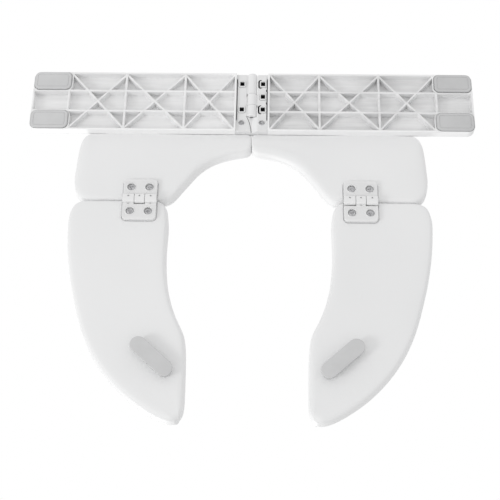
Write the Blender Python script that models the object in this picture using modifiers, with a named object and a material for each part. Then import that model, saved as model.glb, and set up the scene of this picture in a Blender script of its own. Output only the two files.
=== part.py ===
"""Folding padded toilet seat reducer, in metres, +Z up, standing on its six pads.

+X is the sitter's left and +Y the rear. Two ribbed bars cross the rear and meet at a
centre hinge. Each carries a rear cushion, and a wing is hinged to the front of each rear
cushion, so that the whole seat folds towards its underside.
"""

import math

import bmesh
import bpy
import numpy as np
from mathutils import Vector

# Plan of the whole seat
BAR_HALF_LENGTH = 0.190
BAR_WIDTH = 0.0595
REAR_PANEL_LENGTH = 0.066
WING_LENGTH = 0.191
PANEL_HALF_WIDTH = 0.150
OPENING_HALF_WIDTH = 0.067

# Clearances
GAP = 0.0003
SEAM_GAP = 0.0004
BAR_SIDE_GAP = 0.0009
POCKET_GAP = 0.0006
OVERRUN = 0.002

# Side hinges, which fold the wings under the rear cushions
HINGE_INSET = 0.0243
HINGE_WIDTH = 0.028
HINGE_HALF_LENGTH = 0.0190
HINGE_PLATE = 0.0026
HINGE_CORNER = 0.0035
BARREL_RADIUS = 0.0040
BARREL_GAP = 0.0006
TONGUE_WIDTH = 0.0086
PIN_RADIUS = 0.0013
PIN_INSET = 0.0010
PIN_GAP = 0.0001
PLATE_RISE = 0.0002
SCREW_SPACING_X = 0.0150
SCREW_SPACING_Y = 0.0228

# Screws
HEAD_RADIUS = 0.0030
HEAD_DEPTH = 0.0009
HEAD_CROWN = 0.0003
SHANK_RADIUS = 0.0013
SLOT_WIDTH = 0.0008
SLOT_DEPTH = 0.0006
SLOT_SHARE = 0.62
RECESS_MARGIN = 0.0005
SCREW_BITE_SHARE = 0.8

# Foam and the boards inside it
CUSHION_THICKNESS = 0.017
EDGE_ROUND = 0.006
FOAM_SKIN = 0.0016
BOARD_THICKNESS = 0.0024
BOARD_INSET = 0.007

# Bars
RIM_Z = 0.001
WALL = 0.0018
RIB = 0.0014
BRACE = 0.0011
RIB_SETBACK = 0.0002
RIB_ROOT = 0.0006
BAR_CORNER = 0.007
BAR_TOP_ROUND = 0.004
TONGUE_ROOT = 0.008
BAY_SHARES = (0.0, 0.302, 0.665, 1.0)

# Bar pads
PAD_LENGTH = 0.0315
PAD_WIDTH = 0.0175
PAD_THICKNESS = 0.0020
PAD_EDGE = 0.0010
PAD_CORNER = 0.0045
PAD_ROUND = 0.0005
PAD_WALL = 0.0013

# Wing pads
CAPSULE_RADIUS = 0.0066
CAPSULE_SPACING = 0.0286
CAPSULE_TURN = math.radians(42.7)
CAPSULE_ROUND = 0.0012
CAPSULE_ALONG_SHARE = 0.740
CAPSULE_ACROSS_SHARE = 1.081
PEG_RADIUS = 0.0020
PEG_BITE_SHARE = 0.75

# Centre hinge
CENTRE_RADIUS = 0.00425
CENTRE_GAP = 0.0005
CENTRE_LENGTH = 0.047
CENTRE_END = 0.0003
CENTRE_PIN_RADIUS = 0.0015
KNUCKLE_SHARES = (0.0, 0.44, 0.69, 1.0)
KNUCKLE_WEB = 0.0032
LEAF_WIDTH = 0.0078
LEAF_RECESS = 0.002
LEAF_SLIT = 0.0010
LEAF_CORNER = 0.0010
WINDOW_WIDTH = 0.0044
WINDOW_LENGTH = 0.0054
WINDOW_FLOOR = 0.0010
WINDOW_SHARES = {1: (0.217, 0.783), -1: (0.217, 0.50, 0.783)}
TAB_GAP = 0.0004
TAB_RISE = 0.0004
CENTRE_SCREW_INSET = 0.0090
CENTRE_HEAD_RADIUS = 0.0022

# Plan places that follow from the sizes above
REAR_Y = (BAR_WIDTH + REAR_PANEL_LENGTH + WING_LENGTH) / 2
BAR_FRONT_Y = REAR_Y - BAR_WIDTH
SEAM_Y = BAR_FRONT_Y - REAR_PANEL_LENGTH
HINGE_X = OPENING_HALF_WIDTH + HINGE_INSET

# Heights, from the pads' faces at zero up to the crown of the cushions
AXIS_Z = BARREL_RADIUS + GAP
PLATE_LOW = AXIS_Z + PLATE_RISE
PLATE_HIGH = PLATE_LOW + HINGE_PLATE
UNDERSIDE_Z = PLATE_HIGH + GAP
BOARD_LOW = UNDERSIDE_Z + FOAM_SKIN
BOARD_HIGH = BOARD_LOW + BOARD_THICKNESS
CROWN_Z = UNDERSIDE_Z + CUSHION_THICKNESS
CENTRE_AXIS_Z = RIM_Z + CENTRE_RADIUS
LEAF_LOW = RIM_Z + LEAF_RECESS
LEAF_HIGH = BOARD_LOW - GAP
SCREW_TOP = BOARD_LOW + SCREW_BITE_SHARE * BOARD_THICKNESS

# Places along a bar, as distances from the centre line
LEAF_NEAR = CENTRE_RADIUS + CENTRE_GAP
LEAF_FAR = LEAF_NEAR + LEAF_WIDTH
LEAF_X = (LEAF_NEAR + LEAF_FAR) / 2
END_WALL_X = LEAF_FAR + LEAF_SLIT
BAY_START = END_WALL_X + WALL
PAD_FAR = BAR_HALF_LENGTH - PAD_EDGE
PAD_NEAR = PAD_FAR - PAD_LENGTH
SEAT_NEAR = PAD_NEAR - GAP - PAD_WALL
SEAT_DEPTH = PAD_WIDTH + PAD_EDGE + GAP + PAD_WALL

# Turned shapes and rounded edges
ROUND_SEGMENTS = 2
CORNER_SEGMENTS = 3
SIDES = 20
SMALL_SIDES = 12

# Wing sections from the seam to the tip: outer across and along, inner across and along, and
# how far the section is drawn in. Across runs from 0 on the centre line to 1 at the opening's
# edge and 2 at the pads' outer edge; along runs from 0 at the seam to 1 at the tip.
WING_SHARES = (
    (1.867, 0.000, 1.078, 0.000, 0.50),
    (1.922, 0.008, 1.048, 0.012, 0.05),
    (1.970, 0.026, 1.022, 0.034, 0.0),
    (1.998, 0.066, 1.007, 0.077, 0.0),
    (2.000, 0.119, 1.000, 0.130, 0.0),
    (1.986, 0.204, 1.005, 0.209, 0.0),
    (1.959, 0.294, 1.002, 0.288, 0.0),
    (1.918, 0.389, 0.979, 0.378, 0.0),
    (1.855, 0.495, 0.919, 0.476, 0.0),
    (1.757, 0.624, 0.826, 0.561, 0.0),
    (1.604, 0.750, 0.746, 0.624, 0.0),
    (1.428, 0.845, 0.718, 0.696, 0.0),
    (1.252, 0.914, 0.710, 0.775, 0.0),
    (1.080, 0.965, 0.708, 0.854, 0.0),
    (0.960, 0.989, 0.708, 0.918, 0.0),
    (0.878, 0.998, 0.719, 0.956, 0.10),
    (0.818, 1.000, 0.748, 0.980, 0.60),
)

# Rear cushion sections from the centre line outwards: front across and along, rear across and
# along, and how far the section is drawn in. Along runs from 0 at the bar to 1 at the seam.
REAR_SHARES = (
    (0.000, 0.182, 0.000, 0.000, 0.5),
    (0.022, 0.223, 0.022, 0.000, 0.08),
    (0.090, 0.252, 0.097, 0.000, 0.0),
    (0.209, 0.277, 0.254, 0.000, 0.0),
    (0.358, 0.323, 0.433, 0.000, 0.0),
    (0.500, 0.392, 0.612, 0.000, 0.0),
    (0.642, 0.505, 0.791, 0.000, 0.0),
    (0.746, 0.639, 0.955, 0.000, 0.0),
    (0.836, 0.765, 1.084, 0.000, 0.0),
    (0.910, 0.871, 1.193, 0.000, 0.0),
    (0.985, 0.953, 1.289, 0.000, 0.0),
    (1.084, 0.995, 1.386, 0.000, 0.0),
    (1.277, 1.000, 1.518, 0.000, 0.0),
    (1.494, 1.000, 1.645, 0.002, 0.0),
    (1.699, 1.000, 1.771, 0.006, 0.0),
    (1.850, 0.985, 1.865, 0.022, 0.0),
    (1.950, 0.875, 1.935, 0.120, 0.2),
    (1.983, 0.735, 1.964, 0.311, 0.75),
)

# A cushion's section, as (across, rounds in from the edge, height share, rounds up)
SECTION_SHARES = (
    (-1.0, 1.0, 0.0, 0.0),
    (0.0, 0.0, 0.0, 0.0),
    (1.0, 1.0, 0.0, 0.0),
    (1.0, 0.25, 0.0, 0.25),
    (1.0, 0.0, 0.5, 0.0),
    (1.0, 0.25, 1.0, -0.62),
    (1.0, 1.5, 1.0, -0.17),
    (0.0, 0.0, 1.0, 0.0),
    (-1.0, 1.5, 1.0, -0.17),
    (-1.0, 0.25, 1.0, -0.62),
    (-1.0, 0.0, 0.5, 0.0),
    (-1.0, 0.25, 0.0, 0.25),
)

# How much of each point stays its own in one subdivision, the rest coming from its neighbours
OWN_SHARE = 0.75
# The most of a narrow section that one round edge may take, and the rounding beside the bar
ROUND_LIMIT_SHARE = 0.5
BAR_SIDE_SHARE = 0.25

SIDE_NAMES = {1: "left", -1: "right"}

# The pieces that turn with a wing, and those that turn with a half about the centre hinge
WING_PIECES = (
    "wing_cushion",
    "wing_board",
    "wing_pad",
    "side_leaf_wing",
    "side_screw_wing_inner",
    "side_screw_wing_outer",
)
HALF_PIECES = (
    "bar",
    "bar_pad_front",
    "bar_pad_rear",
    "centre_leaf",
    "centre_screw",
    "rear_cushion",
    "side_leaf_rear",
    "side_pin",
    "side_screw_rear_inner",
    "side_screw_rear_outer",
)


def clear_scene():
    for old in list(bpy.data.objects):
        bpy.data.objects.remove(old, do_unlink=True)


def new_collection(name):
    made = bpy.data.collections.new(name)
    bpy.context.scene.collection.children.link(made)
    return made


def material(name, colour, roughness, metallic=0.0):
    made = bpy.data.materials.new(name)
    made.use_nodes = True
    shader = made.node_tree.nodes["Principled BSDF"]
    shader.inputs["Base Color"].default_value = (*colour, 1.0)
    shader.inputs["Roughness"].default_value = roughness
    shader.inputs["Metallic"].default_value = metallic
    made.diffuse_color = (*colour, 1.0)
    return made


clear_scene()
PARTS = new_collection("padded_toilet_seat_reducer")
CUTTERS = new_collection("cutters")
FOAM = material("cushion_foam", (0.78, 0.78, 0.78), 0.55)
BAR_PLASTIC = material("bar_plastic", (0.71, 0.71, 0.71), 0.40)
HINGE_PLASTIC = material("hinge_plastic", (0.74, 0.74, 0.74), 0.38)
PAD_RUBBER = material("pad_silicone", (0.55, 0.55, 0.56), 0.60)
STEEL = material("screw_steel", (0.55, 0.55, 0.56), 0.35, 1.0)
BOARD_PLASTIC = material("board_plastic", (0.70, 0.70, 0.70), 0.50)


def place(bm, name, surface, sharp_from=math.radians(35)):
    """Turns a bmesh into a piece, or into a cutter where no surface is given."""
    bmesh.ops.recalc_face_normals(bm, faces=bm.faces)
    if bm.calc_volume(signed=True) < 0:
        bmesh.ops.reverse_faces(bm, faces=bm.faces)
    mesh = bpy.data.meshes.new(name)
    bm.to_mesh(mesh)
    bm.free()
    piece = bpy.data.objects.new(name, mesh)
    if surface is None:
        CUTTERS.objects.link(piece)
        piece.hide_render = True
        piece.display_type = "WIRE"
    else:
        PARTS.objects.link(piece)
        mesh.materials.append(surface)
        mesh.shade_smooth()
        mesh.set_sharp_from_angle(angle=sharp_from)
    return piece


def combine(piece, other, operation):
    step = piece.modifiers.new(f"{operation.lower()} {other.name}", "BOOLEAN")
    step.operation = operation
    step.object = other
    step.solver = "EXACT"


def cut(piece, other):
    combine(piece, other, "DIFFERENCE")


def join(piece, other):
    combine(piece, other, "UNION")


def round_edges(bm, chosen, radius, segments):
    edges = [e for e in bm.edges if chosen(e)]
    bmesh.ops.bevel(bm, geom=edges, offset=radius, segments=segments, profile=0.5, affect="EDGES")


def is_upright(edge):
    low, high = (v.co for v in edge.verts)
    return math.hypot(high.x - low.x, high.y - low.y) < abs(high.z - low.z)


def is_level_with(edge, height):
    return all(math.isclose(v.co.z, height, abs_tol=GAP / 10) for v in edge.verts)


def box(low, high):
    """A bmesh box between two corners, which may be given in any order."""
    bm = bmesh.new()
    bmesh.ops.create_cube(bm, size=1)
    low, high = Vector(low), Vector(high)
    for v in bm.verts:
        v.co = (low + high) / 2 + Vector(a * abs(b - c) for a, b, c in zip(v.co, high, low))
    return bm


def block(name, low, high, surface=None):
    return place(box(low, high), name, surface)


def rounded_plate(name, low, high, corner, surface=None, soften=0, at=None):
    """A flat block with round corners in plan, its edges softened at one height."""
    bm = box(low, high)
    round_edges(bm, is_upright, corner, CORNER_SEGMENTS)
    if soften:
        round_edges(bm, lambda e: is_level_with(e, at), soften, ROUND_SEGMENTS)
    return place(bm, name, surface)


def rod(name, start, end, radius, surface=None, sides=SIDES):
    start, end = Vector(start), Vector(end)
    bm = bmesh.new()
    bmesh.ops.create_cone(
        bm,
        cap_ends=True,
        segments=sides,
        radius1=radius,
        radius2=radius,
        depth=(end - start).length,
    )
    turn = (end - start).to_track_quat("Z", "Y").to_matrix().to_4x4()
    bmesh.ops.transform(bm, matrix=turn, verts=bm.verts)
    bmesh.ops.translate(bm, vec=(start + end) / 2, verts=bm.verts)
    return place(bm, name, surface)


def raised(points, low, high):
    """A bmesh plate of any plan outline between two heights."""
    bm = bmesh.new()
    foot = bm.faces.new([bm.verts.new((x, y, low)) for x, y in points])
    grown = bmesh.ops.extrude_face_region(bm, geom=[foot])["geom"]
    top = [g for g in grown if isinstance(g, bmesh.types.BMVert)]
    bmesh.ops.translate(bm, vec=(0, 0, high - low), verts=top)
    bmesh.ops.recalc_face_normals(bm, faces=bm.faces)
    return bm


def across(share):
    """Distance from the centre line: 1 is the opening's edge and 2 the pads' outer edge."""
    pad_width = PANEL_HALF_WIDTH - OPENING_HALF_WIDTH
    return OPENING_HALF_WIDTH * min(share, 1) + pad_width * max(share - 1, 0)


def wing_sections(side):
    """Outer point, inner point and draw of each section of a wing."""
    start = SEAM_Y - SEAM_GAP
    reach = WING_LENGTH - SEAM_GAP
    return [
        (
            Vector((side * across(outer), start - outer_along * reach)),
            Vector((side * across(inner), start - inner_along * reach)),
            draw,
        )
        for outer, outer_along, inner, inner_along, draw in WING_SHARES
    ]


def rear_sections(side):
    """Front point, rear point and draw of each section of a rear cushion."""
    start = BAR_FRONT_Y - BAR_SIDE_GAP
    reach = start - SEAM_Y - SEAM_GAP
    return [
        (
            Vector((side * (SEAM_GAP + across(front)), start - front_along * reach)),
            Vector((side * (SEAM_GAP + across(rear)), start - rear_along * reach)),
            draw,
        )
        for front, front_along, rear, rear_along, draw in REAR_SHARES
    ]


def section_ring(far, near, draw, near_share):
    """The points of one cushion section, with less rounding below on its near side."""
    middle, half = (far + near) / 2, (far - near) / 2
    edge = min(EDGE_ROUND, half.length * ROUND_LIMIT_SHARE)
    ring = []
    for side, rounds_in, height, rounds_up in SECTION_SHARES:
        softness = near_share if side < 0 and height < 1 else 1
        inset = edge * (rounds_in * softness + draw * (1 - rounds_in / 2))
        flat = middle + side * (half - half.normalized() * inset)
        z = UNDERSIDE_Z + height * CUSHION_THICKNESS
        z += EDGE_ROUND * (rounds_up * softness + draw * (1 - 2 * height))
        ring.append((flat.x, flat.y, z))
    return ring


def averaging(count, closed):
    """How one subdivision averages a row of points with their neighbours."""
    other = (1 - OWN_SHARE) / 2
    weights = np.zeros((count, count))
    for row in range(count):
        if closed or 0 < row < count - 1:
            weights[row, row] = OWN_SHARE
            weights[row, (row - 1) % count] = other
            weights[row, (row + 1) % count] = other
        else:
            weights[row, row] = 1
    return weights


def cage_through(rings):
    """Control points whose surface, once subdivided, passes through the given rings."""
    points = np.array(rings)
    along = np.linalg.inv(averaging(points.shape[0], False))
    around = np.linalg.inv(averaging(points.shape[1], True))
    return np.einsum("ij,jkl,mk->iml", along, points, around)


def cushion(name, sections, near_share=1):
    """A crowned pad through its sections, smoothed by subdivision, with flat ends."""
    bm = bmesh.new()
    cage = cage_through([section_ring(*section, near_share) for section in sections])
    rings = [[bm.verts.new(point) for point in ring] for ring in cage]
    for ring, following in zip(rings, rings[1:]):
        for i, vert in enumerate(ring):
            bm.faces.new((vert, ring[i - 1], following[i - 1], following[i]))
    crease = bm.edges.layers.float.new("crease_edge")
    for ring in (rings[0], rings[-1]):
        for edge in bm.faces.new(ring).edges:
            edge[crease] = 1
    piece = place(bm, name, FOAM, math.pi)
    smooth = piece.modifiers.new("soften", "SUBSURF")
    smooth.levels = 1
    smooth.render_levels = 1
    return piece


def toward(point, target, distance):
    return point + (target - point).normalized() * distance


def wing_board_outline(side, grow):
    """Outline of the board inside a wing, larger by grow for the space round it."""
    full = [(far, near) for far, near, draw in wing_sections(side) if draw == 0]
    inset = BOARD_INSET - grow
    outer = [toward(far, near, inset) for far, near in full]
    inner = [toward(near, far, inset) for far, near in full]
    for row in (outer, inner):
        row[0] = toward(row[0], row[1], -grow)
        row[-1] = toward(row[-1], row[-2], -grow)
    return outer + inner[::-1]


def tongue_outline(side, grow, rear_y):
    """Outline of the board that runs from a bar into its rear cushion."""
    full = [(front, rear) for front, rear, draw in rear_sections(side) if draw == 0][1:]
    front = [toward(a, b, BOARD_INSET - grow) for a, b in full]
    front[0].x -= side * grow
    front[-1].x += side * grow
    ends = [Vector((front[-1].x, rear_y)), Vector((front[0].x, rear_y))]
    return front + ends


def screw(name, x, y, face_z, radius):
    """A cross-head screw driven upwards from its recess."""
    low = face_z + HEAD_CROWN
    piece = rod(name, (x, y, low), (x, y, low + HEAD_DEPTH), radius, STEEL, SMALL_SIDES)
    shank_from = low + HEAD_DEPTH / 2
    shank = rod(f"{name}_shank", (x, y, shank_from), (x, y, SCREW_TOP), SHANK_RADIUS, None, SMALL_SIDES)
    join(piece, shank)
    reach = radius * SLOT_SHARE
    half = SLOT_WIDTH / 2
    slots = ((reach, half), (half, reach))
    for number, (dx, dy) in enumerate(slots):
        low_corner = (x - dx, y - dy, low - OVERRUN)
        high_corner = (x + dx, y + dy, low + SLOT_DEPTH)
        cut(piece, block(f"{name}_slot_{number}", low_corner, high_corner))
    return piece


def screw_hole(piece, name, x, y, low, high):
    hole = rod(name, (x, y, low), (x, y, high), SHANK_RADIUS + GAP, None, SMALL_SIDES)
    cut(piece, hole)


def screw_recess(piece, name, x, y, face_z, radius):
    """The round pocket that a screw's head sits in."""
    floor = face_z + HEAD_CROWN + HEAD_DEPTH + GAP
    cut(piece, rod(name, (x, y, face_z - OVERRUN), (x, y, floor), radius + RECESS_MARGIN))


def hinge_screw_places(side, ahead):
    """The two screws of one side hinge leaf: ahead is 1 for the wing and -1 for the rear."""
    y = SEAM_Y - ahead * SCREW_SPACING_Y / 2
    return [(side * HINGE_X + across_x * SCREW_SPACING_X / 2, y) for across_x in (-1, 1)]


def bar(side):
    """A ribbed bar, open below, whose top carries on as a tongue into the rear cushion."""
    word = SIDE_NAMES[side]
    bm = box((side * LEAF_NEAR, BAR_FRONT_Y, RIM_Z), (side * BAR_HALF_LENGTH, REAR_Y, BOARD_HIGH))
    outer_end = BAR_HALF_LENGTH - GAP
    inner_end = LEAF_NEAR + GAP
    round_edges(
        bm,
        lambda e: is_upright(e) and all(abs(v.co.x) > outer_end for v in e.verts),
        BAR_CORNER,
        CORNER_SEGMENTS,
    )
    round_edges(
        bm,
        lambda e: is_level_with(e, BOARD_HIGH) and any(abs(v.co.x) > inner_end for v in e.verts),
        BAR_TOP_ROUND,
        CORNER_SEGMENTS,
    )
    piece = place(bm, f"{word}_bar", BAR_PLASTIC)
    cut(piece, bar_cavity(side))
    low = (side * (LEAF_NEAR - OVERRUN), BAR_FRONT_Y - OVERRUN, RIM_Z - OVERRUN)
    high = (side * END_WALL_X, REAR_Y + OVERRUN, BOARD_LOW)
    cut(piece, block(f"{word}_leaf_space", low, high))
    for rib in bar_ribs(side):
        join(piece, rib)
    for end in (1, -1):
        join(piece, pad_seat(side, end))
    outline = tongue_outline(side, 0, BAR_FRONT_Y + TONGUE_ROOT)
    tongue = raised(outline, BOARD_LOW + GAP / 2, BOARD_HIGH - GAP / 2)
    join(piece, place(tongue, f"{word}_tongue", None))
    for end in (1, -1):
        cut(piece, pad_recess(side, end))
    for number, (x, y) in enumerate(hinge_screw_places(side, -1)):
        screw_hole(piece, f"{word}_tongue_hole_{number}", x, y, BOARD_LOW - OVERRUN, BOARD_HIGH + OVERRUN)
    y = BAR_FRONT_Y + CENTRE_SCREW_INSET
    screw_hole(piece, f"{word}_bar_hole", side * LEAF_X, y, BOARD_LOW - OVERRUN, BOARD_HIGH + OVERRUN)
    return piece


def bar_cavity(side):
    low = (side * BAY_START, BAR_FRONT_Y + WALL, RIM_Z - OVERRUN)
    high = (side * (BAR_HALF_LENGTH - WALL), REAR_Y - WALL, BOARD_LOW)
    bm = box(low, high)
    outer_end = BAR_HALF_LENGTH - WALL - GAP
    round_edges(
        bm,
        lambda e: is_upright(e) and all(abs(v.co.x) > outer_end for v in e.verts),
        BAR_CORNER - WALL,
        CORNER_SEGMENTS,
    )
    round_edges(bm, lambda e: is_level_with(e, BOARD_LOW), BAR_TOP_ROUND - WALL, ROUND_SEGMENTS)
    return place(bm, f"{SIDE_NAMES[side]}_bar_cavity", None)


def rib_between(name, start, end, thickness, steps):
    """A straight upright rib between two plan points, a few steps back from the rim."""
    start, end = Vector(start), Vector(end)
    along = (end - start).normalized()
    half = Vector((-along.y, along.x)) * thickness / 2
    start = start - along * RIB_ROOT
    end = end + along * RIB_ROOT
    corners = (start + half, end + half, end - half, start - half)
    return place(raised(corners, RIM_Z + steps * RIB_SETBACK, BOARD_LOW + RIB_ROOT), name, None)


def rib_lines():
    """Where the two lengthwise ribs run, in line with the pads' inner edges."""
    return BAR_FRONT_Y + SEAT_DEPTH - RIB / 2, REAR_Y - SEAT_DEPTH + RIB / 2


def bar_ribs(side):
    """Two lengthwise ribs, three crosswise ribs and a cross brace in each bay."""
    word = SIDE_NAMES[side]
    front, rear = BAR_FRONT_Y + WALL, REAR_Y - WALL
    span = SEAT_NEAR + RIB / 2 - BAY_START
    stops = [side * (BAY_START + share * span) for share in BAY_SHARES]
    far = side * (BAR_HALF_LENGTH - WALL)
    ribs = []
    for number, y in enumerate(rib_lines()):
        ribs.append(rib_between(f"{word}_long_rib_{number}", (stops[0], y), (far, y), RIB, 1))
    for number, x in enumerate(stops[1:]):
        ribs.append(rib_between(f"{word}_cross_rib_{number}", (x, front), (x, rear), RIB, 2))
    for number, (near, away) in enumerate(zip(stops, stops[1:])):
        ribs.append(rib_between(f"{word}_brace_{number}_a", (near, front), (away, rear), BRACE, 3))
        ribs.append(rib_between(f"{word}_brace_{number}_b", (near, rear), (away, front), BRACE, 4))
    return ribs


def pad_seat(side, end):
    """The solid corner under a bar pad: end is 1 at the rear edge and -1 at the front."""
    edge = REAR_Y if end > 0 else BAR_FRONT_Y
    low = (side * (SEAT_NEAR + RIB / 2), edge - end * (SEAT_DEPTH - RIB / 2), RIM_Z + RIB_SETBACK / 2)
    high = (side * (BAR_HALF_LENGTH - WALL / 2), edge - end * WALL / 2, BOARD_LOW + RIB_ROOT)
    bm = box(low, high)
    outer_end = BAR_HALF_LENGTH - WALL
    round_edges(
        bm,
        lambda e: is_upright(e) and all(abs(v.co.x) > outer_end for v in e.verts),
        BAR_CORNER - WALL / 2,
        CORNER_SEGMENTS,
    )
    round_edges(bm, lambda e: is_level_with(e, BOARD_LOW + RIB_ROOT), BAR_TOP_ROUND - WALL, ROUND_SEGMENTS)
    return place(bm, f"{SIDE_NAMES[side]}_pad_seat_{end}", None)


def pad_span(side, end, grow=0):
    """Plan corners of a bar pad, or of its recess where grow is given."""
    edge = REAR_Y if end > 0 else BAR_FRONT_Y
    near = edge - end * (PAD_EDGE - grow)
    away = edge - end * (PAD_EDGE + PAD_WIDTH + grow)
    return (side * (PAD_NEAR - grow), away), (side * (PAD_FAR + grow), near)


def pad_recess(side, end):
    low, high = pad_span(side, end, GAP)
    depth = PAD_THICKNESS + GAP
    name = f"{SIDE_NAMES[side]}_pad_recess_{end}"
    return rounded_plate(name, (*low, RIM_Z - OVERRUN), (*high, depth), PAD_CORNER + GAP)


def bar_pad(side, end):
    low, high = pad_span(side, end)
    name = f"{SIDE_NAMES[side]}_bar_pad_{'rear' if end > 0 else 'front'}"
    return rounded_plate(name, (*low, 0), (*high, PAD_THICKNESS), PAD_CORNER, PAD_RUBBER, PAD_ROUND, 0)


def centre_leaf(side):
    """The hinge leaf in a bar's inner end: two knuckles on the left one, one on the right."""
    word = SIDE_NAMES[side]
    front, rear = BAR_FRONT_Y + GAP, REAR_Y - CENTRE_END
    low = (side * LEAF_NEAR, front, LEAF_LOW)
    high = (side * LEAF_FAR, rear, LEAF_HIGH)
    piece = rounded_plate(f"{word}_centre_leaf", low, high, LEAF_CORNER, HINGE_PLASTIC)
    tab_low = (side * SEAM_GAP, front, CENTRE_AXIS_Z + TAB_RISE)
    tab_high = (side * (LEAF_NEAR + LEAF_CORNER), rear - CENTRE_LENGTH - TAB_GAP, LEAF_HIGH)
    join(piece, block(f"{word}_tab", tab_low, tab_high))
    shares = list(zip(KNUCKLE_SHARES, KNUCKLE_SHARES[1:]))
    owned = shares[::2] if side > 0 else shares[1::2]
    for number, (start, end) in enumerate(owned):
        away = rear - start * CENTRE_LENGTH - GAP * (start > 0)
        near = rear - end * CENTRE_LENGTH + GAP * (end < 1)
        axis = (0, CENTRE_AXIS_Z)
        knuckle = rod(f"{word}_knuckle_{number}", (axis[0], near, axis[1]), (axis[0], away, axis[1]), CENTRE_RADIUS)
        web_low = (0, near, CENTRE_AXIS_Z - KNUCKLE_WEB / 2)
        web_high = (side * (LEAF_NEAR + LEAF_CORNER), away, CENTRE_AXIS_Z + KNUCKLE_WEB / 2)
        join(piece, knuckle)
        join(piece, block(f"{word}_web_{number}", web_low, web_high))
    bore_from = (0, front - OVERRUN, CENTRE_AXIS_Z)
    bore_to = (0, REAR_Y + OVERRUN, CENTRE_AXIS_Z)
    cut(piece, rod(f"{word}_centre_bore", bore_from, bore_to, CENTRE_PIN_RADIUS + PIN_GAP))
    for number, share in enumerate(WINDOW_SHARES[side]):
        y = rear - share * CENTRE_LENGTH
        window_low = (side * LEAF_X - WINDOW_WIDTH / 2, y - WINDOW_LENGTH / 2, LEAF_LOW - OVERRUN)
        window_high = (side * LEAF_X + WINDOW_WIDTH / 2, y + WINDOW_LENGTH / 2, LEAF_HIGH - WINDOW_FLOOR)
        cut(piece, block(f"{word}_window_{number}", window_low, window_high))
    y = BAR_FRONT_Y + CENTRE_SCREW_INSET
    screw_recess(piece, f"{word}_centre_recess", side * LEAF_X, y, LEAF_LOW, CENTRE_HEAD_RADIUS)
    screw_hole(piece, f"{word}_leaf_hole", side * LEAF_X, y, LEAF_LOW, LEAF_HIGH + OVERRUN)
    screw(f"{word}_centre_screw", side * LEAF_X, y, LEAF_LOW, CENTRE_HEAD_RADIUS)
    return piece


def centre_pin():
    rear = REAR_Y - CENTRE_END
    front = rear - CENTRE_LENGTH
    return rod(
        "centre_hinge_pin",
        (0, front + PIN_INSET, CENTRE_AXIS_Z),
        (0, rear - PIN_INSET, CENTRE_AXIS_Z),
        CENTRE_PIN_RADIUS,
        STEEL,
    )


def side_leaf(side, ahead):
    """One leaf of a side hinge. The left wing and the right rear leaf have the two outer knuckles."""
    word = SIDE_NAMES[side]
    part = "wing" if ahead > 0 else "rear"
    x = side * HINGE_X
    near = SEAM_Y - ahead * (BARREL_RADIUS + BARREL_GAP)
    far = SEAM_Y - ahead * HINGE_HALF_LENGTH
    half = HINGE_WIDTH / 2
    bm = box((x - half, near, PLATE_LOW), (x + half, far, PLATE_HIGH))
    corner_y = HINGE_HALF_LENGTH - GAP
    round_edges(
        bm,
        lambda e: is_upright(e) and all(abs(v.co.y - SEAM_Y) > corner_y for v in e.verts),
        HINGE_CORNER,
        CORNER_SEGMENTS,
    )
    piece = place(bm, f"{word}_side_leaf_{part}", HINGE_PLASTIC)
    tongue = TONGUE_WIDTH / 2
    outer = ((-half, -tongue - GAP), (tongue + GAP, half))
    spans = outer if side == ahead else ((GAP - tongue, tongue - GAP),)
    for number, (start, end) in enumerate(spans):
        label = f"{word}_{part}_{number}"
        ends = [(x + start, SEAM_Y, AXIS_Z), (x + end, SEAM_Y, AXIS_Z)]
        join(piece, rod(f"{label}_barrel", *ends, BARREL_RADIUS))
        web_far = near - ahead * RIB_ROOT
        join(piece, block(f"{label}_web", (x + start, SEAM_Y, PLATE_LOW), (x + end, web_far, PLATE_HIGH)))
    bore = [(x - half - OVERRUN, SEAM_Y, AXIS_Z), (x + half + OVERRUN, SEAM_Y, AXIS_Z)]
    cut(piece, rod(f"{word}_{part}_bore", *bore, PIN_RADIUS + PIN_GAP, None, SMALL_SIDES))
    for number, (screw_x, screw_y) in enumerate(hinge_screw_places(side, ahead)):
        label = f"{word}_side_screw_{part}_{'inner' if (number == 0) == (side > 0) else 'outer'}"
        screw_recess(piece, f"{label}_recess", screw_x, screw_y, PLATE_LOW, HEAD_RADIUS)
        screw_hole(piece, f"{label}_plate_hole", screw_x, screw_y, PLATE_LOW, PLATE_HIGH + OVERRUN)
        screw(label, screw_x, screw_y, PLATE_LOW, HEAD_RADIUS)
    return piece


def side_pin(side):
    reach = HINGE_WIDTH / 2 - PIN_INSET
    x = side * HINGE_X
    name = f"{SIDE_NAMES[side]}_side_pin"
    return rod(name, (x - reach, SEAM_Y, AXIS_Z), (x + reach, SEAM_Y, AXIS_Z), PIN_RADIUS, STEEL, SMALL_SIDES)


def barrel_relief(side, name):
    """The hollow in the foam that the side hinge's barrel turns in."""
    reach = HINGE_WIDTH / 2 + BARREL_GAP
    x = side * HINGE_X
    radius = BARREL_RADIUS + BARREL_GAP
    return rod(name, (x - reach, SEAM_Y, AXIS_Z), (x + reach, SEAM_Y, AXIS_Z), radius)


def rear_cushion(side):
    """Foam with a pocket at its rear face for the bar's tongue."""
    word = SIDE_NAMES[side]
    piece = cushion(f"{word}_rear_cushion", rear_sections(side), BAR_SIDE_SHARE)
    outline = tongue_outline(side, POCKET_GAP, BAR_FRONT_Y + OVERRUN)
    cut(piece, place(raised(outline, BOARD_LOW - GAP, BOARD_HIGH + GAP), f"{word}_pocket", None))
    cut(piece, barrel_relief(side, f"{word}_rear_relief"))
    for number, (x, y) in enumerate(hinge_screw_places(side, -1)):
        screw_hole(piece, f"{word}_rear_foam_hole_{number}", x, y, UNDERSIDE_Z - OVERRUN, BOARD_LOW)
    return piece


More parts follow.
